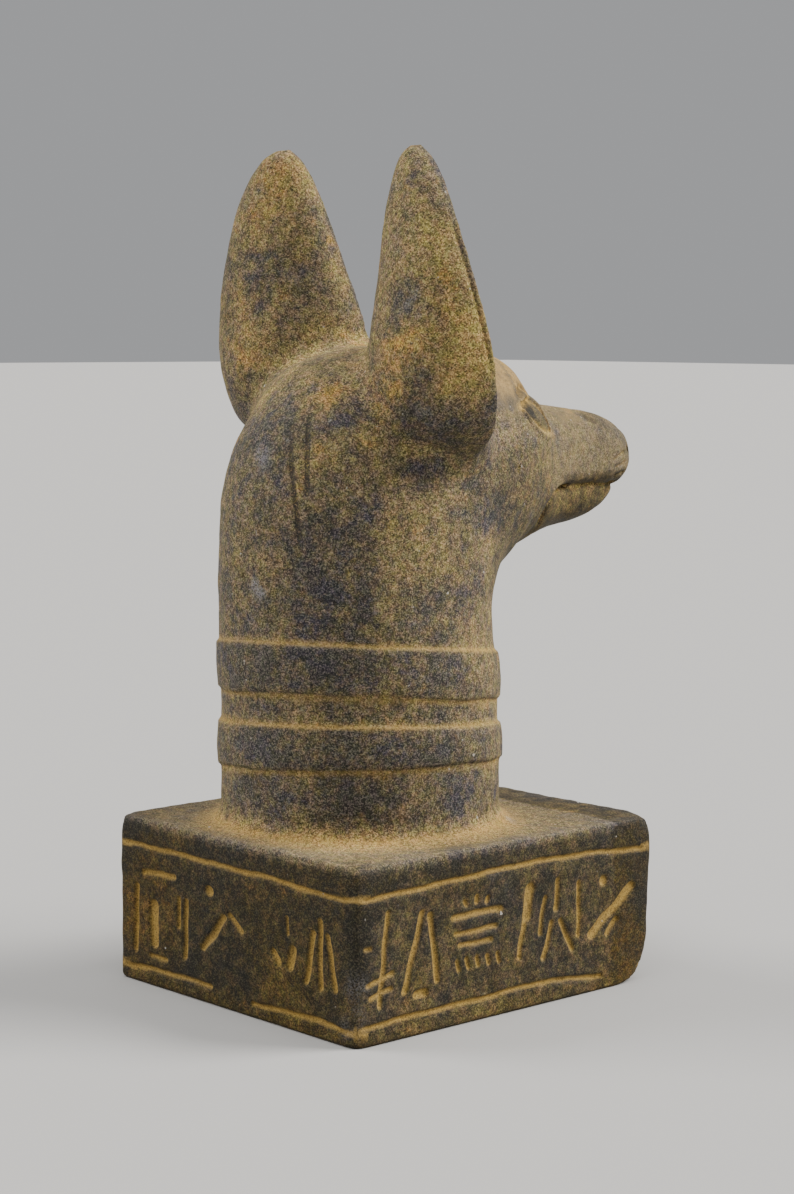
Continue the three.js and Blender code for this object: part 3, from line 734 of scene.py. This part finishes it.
def carve_lines(field, segments, depth, sides):
    """Cuts fine lines, on the animal's right side, or on both."""
    axes = [axis.ravel() for axis in grid_axes()]
    for side in sides:
        for segment in segments:
            ends = np.array(segment).reshape(2, 3) * (side, 1, 1)
            limits = zip(axes, ends.min(0) - LINE_MARGIN, ends.max(0) + LINE_MARGIN)
            box = tuple(slice(*np.searchsorted(axis, (low, high))) for axis, low, high in limits)
            places = np.stack(np.meshgrid(*[axis[part] for axis, part in zip(axes, box)], indexing="ij"), -1)
            line = near_segments(places, [ends.ravel()], LINE_HALF_WIDTH)
            field[box] += (depth * line).astype(np.float32)


def carve_plinth(field):
    """Cuts the borders and marks in the plinth's faces; they are worn away near its corners."""
    x, y, z = grid_axes()
    high = row_at(PLINTH_HEIGHT)
    for axis, way, place, half_span, *cuts in FACES:
        across = (x, y)[1 - axis].ravel()
        worn_away = ramp(half_span - 5, half_span - 1.5, np.abs(across))[:, None]
        depth = carving(across[:, None], z.ravel()[None, :high], *cuts) * (1 - worn_away)
        middle = way * place / VOXEL - GRID_LOW[axis]
        slab = slice(max(int(middle - FACE_SLAB / VOXEL), 0), int(middle + FACE_SLAB / VOXEL))
        skin = field[slab, :, :high] if axis == 0 else field[:, slab, :high]
        skin += np.expand_dims(depth.astype(np.float32), axis)


def wear_plinth(field):
    """Takes the worn corners and the chips off the plinth."""
    x, y, z = grid_axes()
    for (cx, cy, cz), (wx, wy, wz), gone, softness in WORN_CORNERS:
        size = math.sqrt(wx * wx + wy * wy + wz * wz)
        beyond = ((x - cx) * wx + (y - cy) * wy + (z - cz) * wz) / size + gone
        field = blend_cut(field, -beyond, softness)
    for (cx, cy, cz), rim, radius in CHIPS:
        away = np.sqrt((x - cx) ** 2 + (y - cy) ** 2 + (z - cz) ** 2)
        field = blend_cut(field, away - radius, rim / 3)
    return field.astype(np.float32)


def head_with_jaw():
    """The head and the jaw joined, with the crease between them cut a little deeper for the mouth."""
    head = distance_field(head_rings())
    jaw = distance_field(section_rings(JAW_STATIONS, JAW_STEPS))
    y, z = grid_axes()[1:]
    ahead = ramp(64, 74, -y) * ramp(140, 144, z)
    crease = MOUTH_CUT_DEPTH * bell(head - jaw, MOUTH_HALF_WIDTH) * ahead
    return blend_union(head, jaw, LIP_BLEND) + crease.astype(np.float32)


def ripple_surface(field):
    """Gives straight faces and edges a hand's slight ripple, which also keeps their triangles short."""
    axes = grid_axes()
    height = RIPPLE * ramp(0.3, 2.5, axes[2])
    for first, second, turn, bend, bend_turn in RIPPLE_WAVES:
        field += height * np.sin(turn * axes[first] + bend * np.sin(bend_turn * axes[second]))


def sculpt():
    """The whole stone as one field."""
    stone = head_with_jaw()
    for side in (1, -1):
        stone = blend_union(stone, distance_field(ear_rings(side)), EAR_BLEND)
    add_collar(stone)
    carve_face(stone)
    carve_ears(stone)
    carve_lines(stone, RIM_CUTS, RIM_CUT_DEPTH, sides=(1, -1))
    carve_lines(stone, SCRATCHES, SCRATCH_DEPTH, sides=(1,))
    stone = blend_union(stone, wear_plinth(plinth_field()), FOOT_BLEND)
    carve_plinth(stone)
    ripple_surface(stone)
    return stone


def blurred(field, reach):
    """A field averaged over a box of some millimetres, twice, so the box's corners don't show."""
    half = max(1, round(reach / VOXEL))
    for axis in (0, 1, 2, 0, 1, 2):
        sums = np.moveaxis(np.cumsum(field, axis=axis, dtype=np.float32), axis, 0)
        spread = np.zeros_like(sums)
        spread[half + 1 : -half] = (sums[2 * half + 1 :] - sums[: -2 * half - 1]) / (2 * half + 1)
        field = np.moveaxis(spread, 0, axis)
    return field


def add_object(name, data):
    thing = bpy.data.objects.new(name, data)
    bpy.context.scene.collection.objects.link(thing)
    return thing


def mesh_from_field(field, name):
    """The field's surface as a mesh object in metres, thinned to the triangle limit."""
    grid = openvdb.FloatGrid(BAND)
    grid.transform = openvdb.createLinearTransform(VOXEL)
    grid.copyFromArray(field, ijk=tuple(int(i) for i in GRID_LOW), tolerance=0)
    points, triangles, quads = grid.convertToPolygons(isovalue=0, adaptivity=0)
    mesh = bpy.data.meshes.new(name)
    faces = [face[::-1] for face in quads.tolist() + triangles.tolist()]
    mesh.from_pydata((points * MM).tolist(), [], faces)
    mesh.update()
    stone = add_object(name, mesh)
    thinner = stone.modifiers.new("thinner", "DECIMATE")
    thinner.ratio = MOST_TRIANGLES / (2 * len(quads) + len(triangles))
    thinner.use_collapse_triangulate = True
    graph = bpy.context.evaluated_depsgraph_get()
    thinned = bpy.data.meshes.new_from_object(stone.evaluated_get(graph))
    stone.modifiers.clear()
    stone.data = thinned
    bpy.data.meshes.remove(mesh)
    return stone


def read_vertices(mesh, name):
    """The vertices' places ("co") or normals ("normal"), one row each."""
    rows = np.empty(len(mesh.vertices) * 3, np.float32)
    mesh.vertices.foreach_get(name, rows)
    return rows.reshape(-1, 3).astype(float)


def eye_places(points):
    """Which points are on the side of the face, near an eye, and where those are about it."""
    x, y, z = points.T
    near = (np.abs(x) > 12) & (y < -22) & (z > 150)
    return near, eye_frame(y[near], z[near])


def jaw_side(y, z):
    """How far places are on the jaw's side of the mouth's line, in millimetres; below 0 is the cheek."""
    line_z, line_y = np.array(MOUTH_LINE).T
    return np.minimum(np.interp(z, line_z, line_y) - y, MOUTH_HEIGHT - z)


def neck_distance(points):
    """How far points are from the neck's axis."""
    return np.hypot(points[:, 0], points[:, 1] - NECK_AXIS_Y)


def plinth_top(z, end):
    """1 on the plinth's upper side, and 0 below its edge and above a height."""
    return ramp(PLINTH_HEIGHT - 1.5, PLINTH_HEIGHT, z) * ramp(end, PLINTH_HEIGHT + 1, z)


def carved_here(points):
    """How far each point lies in a cut line of the plinth, from 0 to 1."""
    cut = np.zeros(len(points))
    for axis, way, place, _, *cuts in FACES:
        near = (np.abs(points[:, axis] * way - place) < FACE_SLAB) & (points[:, 2] < PLINTH_HEIGHT - 1)
        across = points[near, 1 - axis]
        cut[near] = np.maximum(cut[near], carving(across, points[near, 2], *cuts) / MARK_DEPTH)
    return np.clip(cut, 0, 1)


def collar_face(points):
    """1 on the faces of the collar's two bands, and 0 off them."""
    x, y, z = points.T
    edges = collar_edges(x, y)
    return sum(ramp(0.2, 1.6, z - bottom) * ramp(0.2, 1.6, top - z) for bottom, top in edges)


def warped(points):
    """The points moved a little at random, so that what is placed by them has ragged outlines."""
    away = [layered_noise(points, [(3.5, 9, 20 + axis), (2.2, 3.8, 30 + axis)]) for axis in range(3)]
    return points + np.stack(away, 1)


def patches(points, table):
    """The sum of the soft round patches in a table of x, y, z, radius and amount."""
    moved = warped(points)
    total = np.zeros(len(points))
    for *middle, radius, amount in table:
        total += amount * np.exp(-((moved - middle) ** 2).sum(1) / radius**2)
    return total


def ochre_lines(points):
    """1 where a line of ochre has stayed: the collar's ledges, the eyes' lids and the ears' fine cuts."""
    x, y, z = points.T
    share = 0.75 * bell(z - 52.4, 1.1) * (neck_distance(points) < 50)
    for bottom, top in collar_edges(x, y):
        share += bell(z - top - 0.3, 0.65) + 0.6 * bell(z - bottom + 1.1, 0.7)
    share *= 0.75 + 0.35 * lattice_noise(points, 8, 41)
    near, eye = eye_places(points)
    lid = np.where(eye.over > 0, 0.2 * ramp(0.4, 0.65, eye.along), 0.5)
    share[near] += lid * bell(eye.outline - 0.5, 0.8)
    share[near] = np.maximum(share[near], 1.5 * near_segments(points[near, 1:], EYE_CRUMBS, 1.25))
    folded = np.stack([-np.abs(x), y, z], 1)
    return np.maximum(share, 0.65 * near_segments(folded, RIM_CUTS, LINE_HALF_WIDTH))


def arris_share(points):
    """1 along the plinth's upright and upper edges, where handling has bared the slate, and 0 off them."""
    x, y, z = warped(points).T
    in_x, in_y, in_z = PLINTH_HALF_WIDTH - np.abs(x), PLINTH_BACK - np.abs(y), PLINTH_HEIGHT - z
    upright = np.hypot(in_x, in_y)
    upper = np.hypot(np.minimum(in_x, in_y), in_z)
    return ramp(7, 1.5, np.minimum(upright, upper)) * ramp(PLINTH_HEIGHT + 3, PLINTH_HEIGHT, z)


def neck_ochre(points):
    """More ochre in the neck's foot and between the collar's bands, less on the bands and below them."""
    z = points[:, 2]
    distance = neck_distance(points)
    face = collar_face(points)
    share = 0.03 * ramp(93, 86, z) * ramp(78, 84, z) * (1 - face) - 0.10 * face
    share += 0.12 * ramp(59, 53, z) * ramp(50.5, 51.5, z) * (distance < 52)
    share -= 0.10 * ramp(69, 64, z) * ramp(54, 57, z)
    return share + 0.06 * plinth_top(z, 53) * ramp(56, 48, distance)


def ochre_share(points):
    """How much more or less ochre than the rest each part of the stone has kept."""
    x, y, z = points.T
    share = neck_ochre(points) + 0.12 * ramp(176, 192, z)
    share += 0.22 * ramp(7, 2, z) - 0.14 * arris_share(points)
    share += 0.06 * ramp(-10, -35, y) * ramp(110, 120, z)
    jaw = jaw_side(y, z)
    share += 0.2 * ramp(0, 1.5, jaw) * ramp(9, 2, jaw) * (y < -44)
    share += patches(points, PATCHES)
    share += (0.03 + 0.17 * ramp(168, 186, z)) * layered_noise(points, OCHRE_RAGGEDNESS)
    for side in (1, -1):
        half = (x * side > HALF_HEAD_FROM) & (z > 175)
        ahead = ear_place(x[half], y[half], z[half], side)[1]
        share[half] -= 0.3 * ramp(RIM_GROOVE_PLACE - 0.6, RIM_GROOVE_PLACE + 0.4, ahead)
    near, eye = eye_places(points)
    lid = np.where(eye.over > 0, -0.7 + 0.75 * ramp(0.45, 0.65, eye.along), 0.2)
    share[near] += lid * bell(eye.outline, 1.3)
    # Less ochre in the eyes' pits, for their painted shadow
    share[near] -= 0.8 * near_segments(points[near, 1:], EYE_PIT_SHADOWS, 1.6)
    return share


def dust_share(points):
    """How much pale dust each part has, besides what lies on its upper sides."""
    y, z = points[:, 1], points[:, 2]
    muzzle = ramp(-34, -58, y) * ramp(148, 153, z)
    ragged = layered_noise(points, BROW_RAGGEDNESS)
    brow = ramp(3, -27, y + ragged) * ramp(163, 186, z + ragged)
    ring = neck_distance(points) + 3 * lattice_noise(points, 7, 61)
    top = plinth_top(z, 55) * (0.3 + 0.7 * ramp(60, 46, ring))
    share = np.maximum(np.maximum(0.5 * muzzle, 1.5 * brow), 0.34 * top)
    near, eye = eye_places(points)
    share[near] *= 1 - 0.4 * ramp(-3.5, -1.5, eye.inside)
    # Less dust in the eyes' pits, for their painted shadow
    share[near] *= 1 - near_segments(points[near, 1:], EYE_PIT_SHADOWS, 1.8)
    return share


def mouth_painted_shade(points):
    """How much painted shade lies on the lip's underside, the jaw and the hollow behind the mouth's corner.
    """
    x, y, z = points.T
    over_lip = (z - 151.3) + 0.02 * (y + 75)
    share = 0.35 * bell(over_lip, 1.7) * ramp(-54, -62, y) * (np.abs(x) > 4)
    jaw = jaw_side(y, z)
    share += 0.4 * ramp(1.0, -0.5, jaw) * ramp(-9, -1, jaw) * (y < -35) * (z < 154) * (z > 128)
    return share + (0.70 + 0.2 * ramp(143, 137, z)) * ramp(0, 2, jaw) * (y < -44)


def dark_share(points):
    """How much darker than the rest each part is: the plinth's sides, stains and painted shade; the
    finish adds painted shade on what faces down.
    """
    x, y, z = points.T
    share = (0.83 + 0.22 * ramp(50, 58, y)) * ramp(50, 47.5, z)
    # Stains and painted shade from the dark patches, and painted shade round the mouth
    share += patches(points, DARK_PATCHES) + mouth_painted_shade(points)
    # Painted shade in the grooves beside the ears' outer rims
    for side in (1, -1):
        half = (x * side > HALF_HEAD_FROM) & (z > 165)
        share[half] += 0.7 * rim_groove(x[half], y[half], z[half], side)
    near, eye = eye_places(points)
    # Painted shade in the eyes' openings, in the creases over their upper lids and in their pits
    share[near] += ramp(0, 0.8, eye.inside) * (0.50 + 0.1 * ramp(0.4, 0.2, eye.along))
    crease = ramp(-0.1, 0.05, eye.along) * ramp(0.8, 0.4, eye.along)
    share[near] += 0.45 * lid_crease(eye, 1.3) * crease
    share[near] += 1.2 * near_segments(points[near, 1:], EYE_PIT_SHADOWS, 1.5)
    # Painted shade on the cheeks below the eyes
    cheek = ramp(-5, -15, y) * ramp(-58, -40, y) * ramp(168, 160, z)
    return share + 0.34 * cheek * (z > 120)


def rust_share(points):
    """How red the ochre is, besides the shader's own chance patches: at the neck's foot and in patches."""
    foot = bell(points[:, 2] - 52.5, 1.8) * (neck_distance(points) < 50)
    return 0.6 * foot + patches(points, RUST_PATCHES)


def scuff_share(points):
    """Where the stone is scuffed pale, and below 0 where it is scratched dark."""
    share = 0.17 * plinth_top(points[:, 2], 53) + 0.10 * arris_share(points) + patches(points, SCUFFS)
    return share - 1.3 * near_segments(points, SCRATCHES, 0.7)


def finish_surface(stone, field):
    """Gives the mesh its hand-carved unevenness and the masks that the stone's finish reads."""
    mesh = stone.data
    points = read_vertices(mesh, "co") / MM
    normals = read_vertices(mesh, "normal")
    solid = np.clip(0.5 - field / (2 * VOXEL), 0, 1).astype(np.float32)
    fine = sample(blurred(solid, 1.2), points) - 0.5
    broad = sample(blurred(solid, 5.0), points) - 0.5
    worn = np.clip(-fine - 0.12, 0, 0.2) * (1 + 1.4 * lattice_noise(points, 5, 6)) * 3
    inward = layered_noise(points, UNEVENNESS) - np.maximum(worn, 0)
    inward *= ramp(0.5, 3, points[:, 2])
    moved = points + normals * inward[:, None]
    mesh.vertices.foreach_set("co", (moved * MM).astype(np.float32).ravel())
    mesh.update()
    masks = {
        "cut": np.maximum(carved_here(points), ochre_lines(points)),
        "hollow": np.clip(fine * 5, 0, 1),
        "edge": np.clip(-fine * 5, 0, 1),
        "shelter": np.clip(broad * 3, 0, 1),
        "ochre": ochre_share(points),
        "dust": dust_share(points),
        "dark": dark_share(points),
        "scuff": scuff_share(points),
        "rust": rust_share(points),
    }
    for name, values in masks.items():
        attribute = mesh.attributes.new(name, "FLOAT", "POINT")
        attribute.data.foreach_set("value", np.asarray(values, np.float32))
    for polygon in mesh.polygons:
        polygon.use_smooth = True


class Nodes:
    """Short calls to build a shader node tree."""

    def __init__(self, material):
        material.use_nodes = True
        self.tree = material.node_tree
        self.tree.nodes.clear()

    def add(self, kind, inputs=None, **settings):
        """A new node with its settings, and a value or a link for each of its inputs that is given."""
        node = self.tree.nodes.new(kind)
        for key, value in settings.items():
            setattr(node, key, value)
        for key, value in (inputs or {}).items():
            if isinstance(value, bpy.types.NodeSocket):
                self.tree.links.new(value, node.inputs[key])
            else:
                node.inputs[key].default_value = value
        return node

    def math(self, operation, a, b=0.0, c=0.0, clamp=False):
        inputs = {0: a, 1: b, 2: c}
        return self.add("ShaderNodeMath", inputs, operation=operation, use_clamp=clamp).outputs[0]

    def times(self, a, b, clamp=False):
        return self.math("MULTIPLY", a, b, clamp=clamp)

    def times_plus(self, a, b, c, clamp=False):
        return self.math("MULTIPLY_ADD", a, b, c, clamp)

    def noise(self, place, scale, detail, roughness=0.5, distortion=0.0):
        inputs = {"Scale": scale, "Detail": detail, "Roughness": roughness, "Distortion": distortion}
        return self.add("ShaderNodeTexNoise", {"Vector": place, **inputs}).outputs["Fac"]

    def spread(self, value, low, high, to_low=0.0, to_high=1.0, smooth=True):
        limits = {"From Min": low, "From Max": high, "To Min": to_low, "To Max": to_high}
        kind = "SMOOTHSTEP" if smooth else "LINEAR"
        node = self.add("ShaderNodeMapRange", {"Value": value, **limits}, interpolation_type=kind)
        return node.outputs["Result"]

    def blend(self, kind, share, a, b):
        a, b = [(*value, 1.0) if isinstance(value, tuple) else value for value in (a, b)]
        inputs = {"Factor": share, 6: a, 7: b}
        return self.add("ShaderNodeMix", inputs, data_type="RGBA", blend_type=kind).outputs[2]

    def mix(self, share, a, b):
        return self.blend("MIX", share, a, b)


def stone_parts(nodes):
    """What the finish is made from: the mesh's masks, the noises, the grain and the ways it faces."""
    place = nodes.add("ShaderNodeTexCoord").outputs["Object"]
    parts = {name: nodes.add("ShaderNodeAttribute", attribute_name=name).outputs["Fac"] for name in MASKS}
    parts.update({name: nodes.noise(place, *settings) for name, settings in NOISES.items()})
    cells = nodes.add("ShaderNodeTexVoronoi", {"Vector": place, "Scale": GRAIN_SCALE}, feature="F1")
    grey = nodes.add("ShaderNodeSeparateColor", {0: cells.outputs["Color"]})
    normal = nodes.add("ShaderNodeNewGeometry").outputs["Normal"]
    rise = nodes.add("ShaderNodeSeparateXYZ", {0: normal}).outputs[2]
    parts["grain"] = nodes.times_plus(parts["clumps"], 0.9, grey.outputs[0])
    parts["upward"] = nodes.spread(rise, 0.45, 1.0)
    # Surfaces that face down, which get painted shade
    parts["downward"] = nodes.spread(rise, -0.25, -0.9)
    return SimpleNamespace(**parts)


def ochre_cover(nodes, stone):
    """How much of the slate the ochre crust hides."""
    cover = nodes.times_plus(stone.blotch, 1.4, -1.14)
    cover = nodes.times_plus(stone.patch, 1.35, cover)
    cover = nodes.math("ADD", cover, stone.ochre)
    cover = nodes.times_plus(stone.shelter, 0.25, cover)
    cover = nodes.times_plus(stone.hollow, 0.6, cover)
    return nodes.times_plus(stone.upward, 0.10, cover, clamp=True)


def crusted_colour(nodes, stone, cover):
    """Slate under its ochre crust, which is rusty in places, with the hues wavering from spot to spot."""
    slate = nodes.mix(nodes.spread(stone.slate_drift, 0.46, 0.62), SLATE, BLUE_SLATE)
    colour = nodes.mix(cover, slate, OCHRE)
    rusty = nodes.math("ADD", stone.rust, nodes.spread(stone.rust_drift, 0.58, 0.72), clamp=True)
    rusty = nodes.times(rusty, nodes.spread(cover, 0.15, 0.7, 0.1, 0.75))
    colour = nodes.mix(rusty, colour, RUST)
    hue = nodes.spread(stone.hue_drift, 0.36, 0.64)
    colour = nodes.blend("MULTIPLY", 1.0, colour, nodes.mix(hue, OLIVE_TINT, MAUVE_TINT))
    mottle = nodes.spread(stone.mottle, 0.3, 0.7, 0.50, 1.50, smooth=False)
    return nodes.blend("MULTIPLY", 1.0, colour, mottle)


def dusted_colour(nodes, stone, colour, stain_and_shade):
    """The colour with the pale dust and the darkening of stains and painted shade over it, the grain in
    what shows of both, and a painted glint on the brightest grains.
    """
    dusty = nodes.times_plus(stone.upward, 0.25, stone.dust, clamp=True)
    dusty = nodes.times(dusty, nodes.spread(stone.patch, 0.25, 0.6, 0.35, 0.8))
    colour = nodes.mix(dusty, colour, nodes.mix(nodes.spread(stone.dust, 0.5, 1.5), DUST, PALE_DUST))
    colour = nodes.blend("MULTIPLY", stain_and_shade, colour, STAIN_AND_SHADE_TINT)
    grainy = nodes.spread(stone.dust, 0.30, 0.75, 1.0, 0.30)
    gain = nodes.spread(stone.grain, 0.45, 1.40, 0.30, 1.62, smooth=False)
    colour = nodes.blend("MULTIPLY", grainy, colour, gain)
    # A painted glint: a highlight added on the brightest grains, weaker where darkened
    painted_glint = nodes.times(nodes.spread(stone.grain, 0.98, 1.48), nodes.spread(stain_and_shade, 0, 0.7, 1.0, 0.35))
    return nodes.blend("ADD", nodes.times(painted_glint, grainy), colour, PAINTED_GLINT)


def worn_colour(nodes, stone, colour, stain_and_shade):
    """The colour with its rubbed edges, ochre-filled cuts, scuffs, scratches and chips."""
    rubbed = nodes.times(stone.edge, nodes.spread(stone.grain, 0.7, 1.1))
    rubbed = nodes.times(rubbed, nodes.spread(stain_and_shade, 0, 0.8, 1.0, 0.2))
    filled = nodes.times(stone.cut, nodes.spread(stone.grain, 0.45, 1.1, 0.45, 1.0))
    scuffed = nodes.times(nodes.spread(stone.scuff, 0.05, 0.9), nodes.spread(stone.clumps, 0.38, 0.62))
    scratched = nodes.spread(stone.scuff, -0.1, -0.7)
    scratched = nodes.times(scratched, nodes.spread(stone.clumps, 0.3, 0.55))
    chips = nodes.spread(stone.chips, 0.78, 0.82)
    wear = [
        (rubbed, 0.45, DUST), (filled, 0.7, FILL), (scuffed, 0.8, SCUFF), (scratched, 0.8, SCRATCH),
        (chips, 0.7, CHIP),
    ]
    for share, strength, shade in wear:
        colour = nodes.mix(nodes.times(share, strength), colour, shade)
    return colour


def stone_material():
    material = bpy.data.materials.new("carved_slate_with_ochre")
    nodes = Nodes(material)
    stone = stone_parts(nodes)
    cover = ochre_cover(nodes, stone)
    # Darker where the dark mask says, plus painted shade on surfaces that face down
    stain_and_shade = nodes.times_plus(stone.downward, 0.45, stone.dark)
    stain_and_shade = nodes.times(stain_and_shade, nodes.spread(stone.patch, 0.3, 0.6, 1.2, 0.8), clamp=True)
    colour = dusted_colour(nodes, stone, crusted_colour(nodes, stone, cover), stain_and_shade)
    relief = nodes.times_plus(stone.grain, 0.3, nodes.times(stone.patch, 0.8))
    bump = nodes.add("ShaderNodeBump", {"Strength": 0.5, "Distance": 0.0004, "Height": relief})
    shader = nodes.add("ShaderNodeBsdfPrincipled", {
        "Base Color": worn_colour(nodes, stone, colour, stain_and_shade),
        "Roughness": nodes.spread(cover, 0, 1, 0.72, 0.93, smooth=False),
        "Normal": bump.outputs[0],
        "Specular IOR Level": 0.3,
    })
    nodes.add("ShaderNodeOutputMaterial", {"Surface": shader.outputs[0]})
    return material


def make_stone():
    field = sculpt()
    stone = mesh_from_field(field, "carved_stone")
    finish_surface(stone, field)
    stone.data.materials.append(stone_material())
    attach(stone, "root")
    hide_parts(STONE_NODE)


def make_floor():
    mesh = bpy.data.meshes.new("floor")
    size = FLOOR_HALF_SIZE
    corners = [(-size, -size, 0), (size, -size, 0), (size, size, 0), (-size, size, 0)]
    mesh.from_pydata(corners, [], [(0, 1, 2, 3)])
    floor = add_object("floor", mesh)
    material = bpy.data.materials.new("pale_floor")
    material.use_nodes = True
    shader = material.node_tree.nodes["Principled BSDF"]
    shader.inputs["Base Color"].default_value = (*FLOOR, 1)
    shader.inputs["Roughness"].default_value = FLOOR_ROUGHNESS
    mesh.materials.append(material)


def way_to(azimuth, elevation):
    """The unit vector from the statue towards a camera or a light."""
    flat = math.cos(elevation)
    return Vector((math.sin(azimuth) * flat, -math.cos(azimuth) * flat, math.sin(elevation)))


def make_camera():
    back = way_to(CAMERA_AZIMUTH, CAMERA_ELEVATION)
    right = (-back).cross(Vector((0, 0, 1))).normalized()
    up = back.cross(right)
    turned_right = right * math.cos(CAMERA_ROLL) + up * math.sin(CAMERA_ROLL)
    turned_up = up * math.cos(CAMERA_ROLL) - right * math.sin(CAMERA_ROLL)
    target = Vector((0, 0, CAMERA_TARGET_HEIGHT)) + turned_right * CAMERA_SIDESTEP
    data = bpy.data.cameras.new("camera")
    data.sensor_fit = "VERTICAL"
    data.sensor_height = CAMERA_SENSOR
    data.lens = CAMERA_LENS
    data.clip_start = 0.05
    data.clip_end = 50
    camera = add_object("camera", data)
    turn = Matrix((turned_right, turned_up, back)).transposed().to_4x4()
    camera.matrix_world = Matrix.Translation((target + back * CAMERA_DISTANCE) * MM) @ turn
    bpy.context.scene.camera = camera


def add_sun(name, azimuth, elevation, strength, spread, colour):
    """A broad, soft light from far away, placed by angles about the statue."""
    way = way_to(math.radians(azimuth), math.radians(elevation))
    data = bpy.data.lights.new(name, "SUN")
    data.energy = strength
    data.angle = math.radians(spread)
    data.color = colour
    light = add_object(name, data)
    light.location = way
    light.rotation_euler = way.to_track_quat("Z", "Y").to_euler()


def make_lights():
    world = bpy.data.worlds.new("studio")
    world.use_nodes = True
    background = world.node_tree.nodes["Background"]
    background.inputs["Color"].default_value = (*SKY, 1)
    background.inputs["Strength"].default_value = SKY_STRENGTH
    bpy.context.scene.world = world
    for name, settings in SUNS.items():
        add_sun(name, *settings)


make_camera()
make_floor()
make_lights()
make_stone()
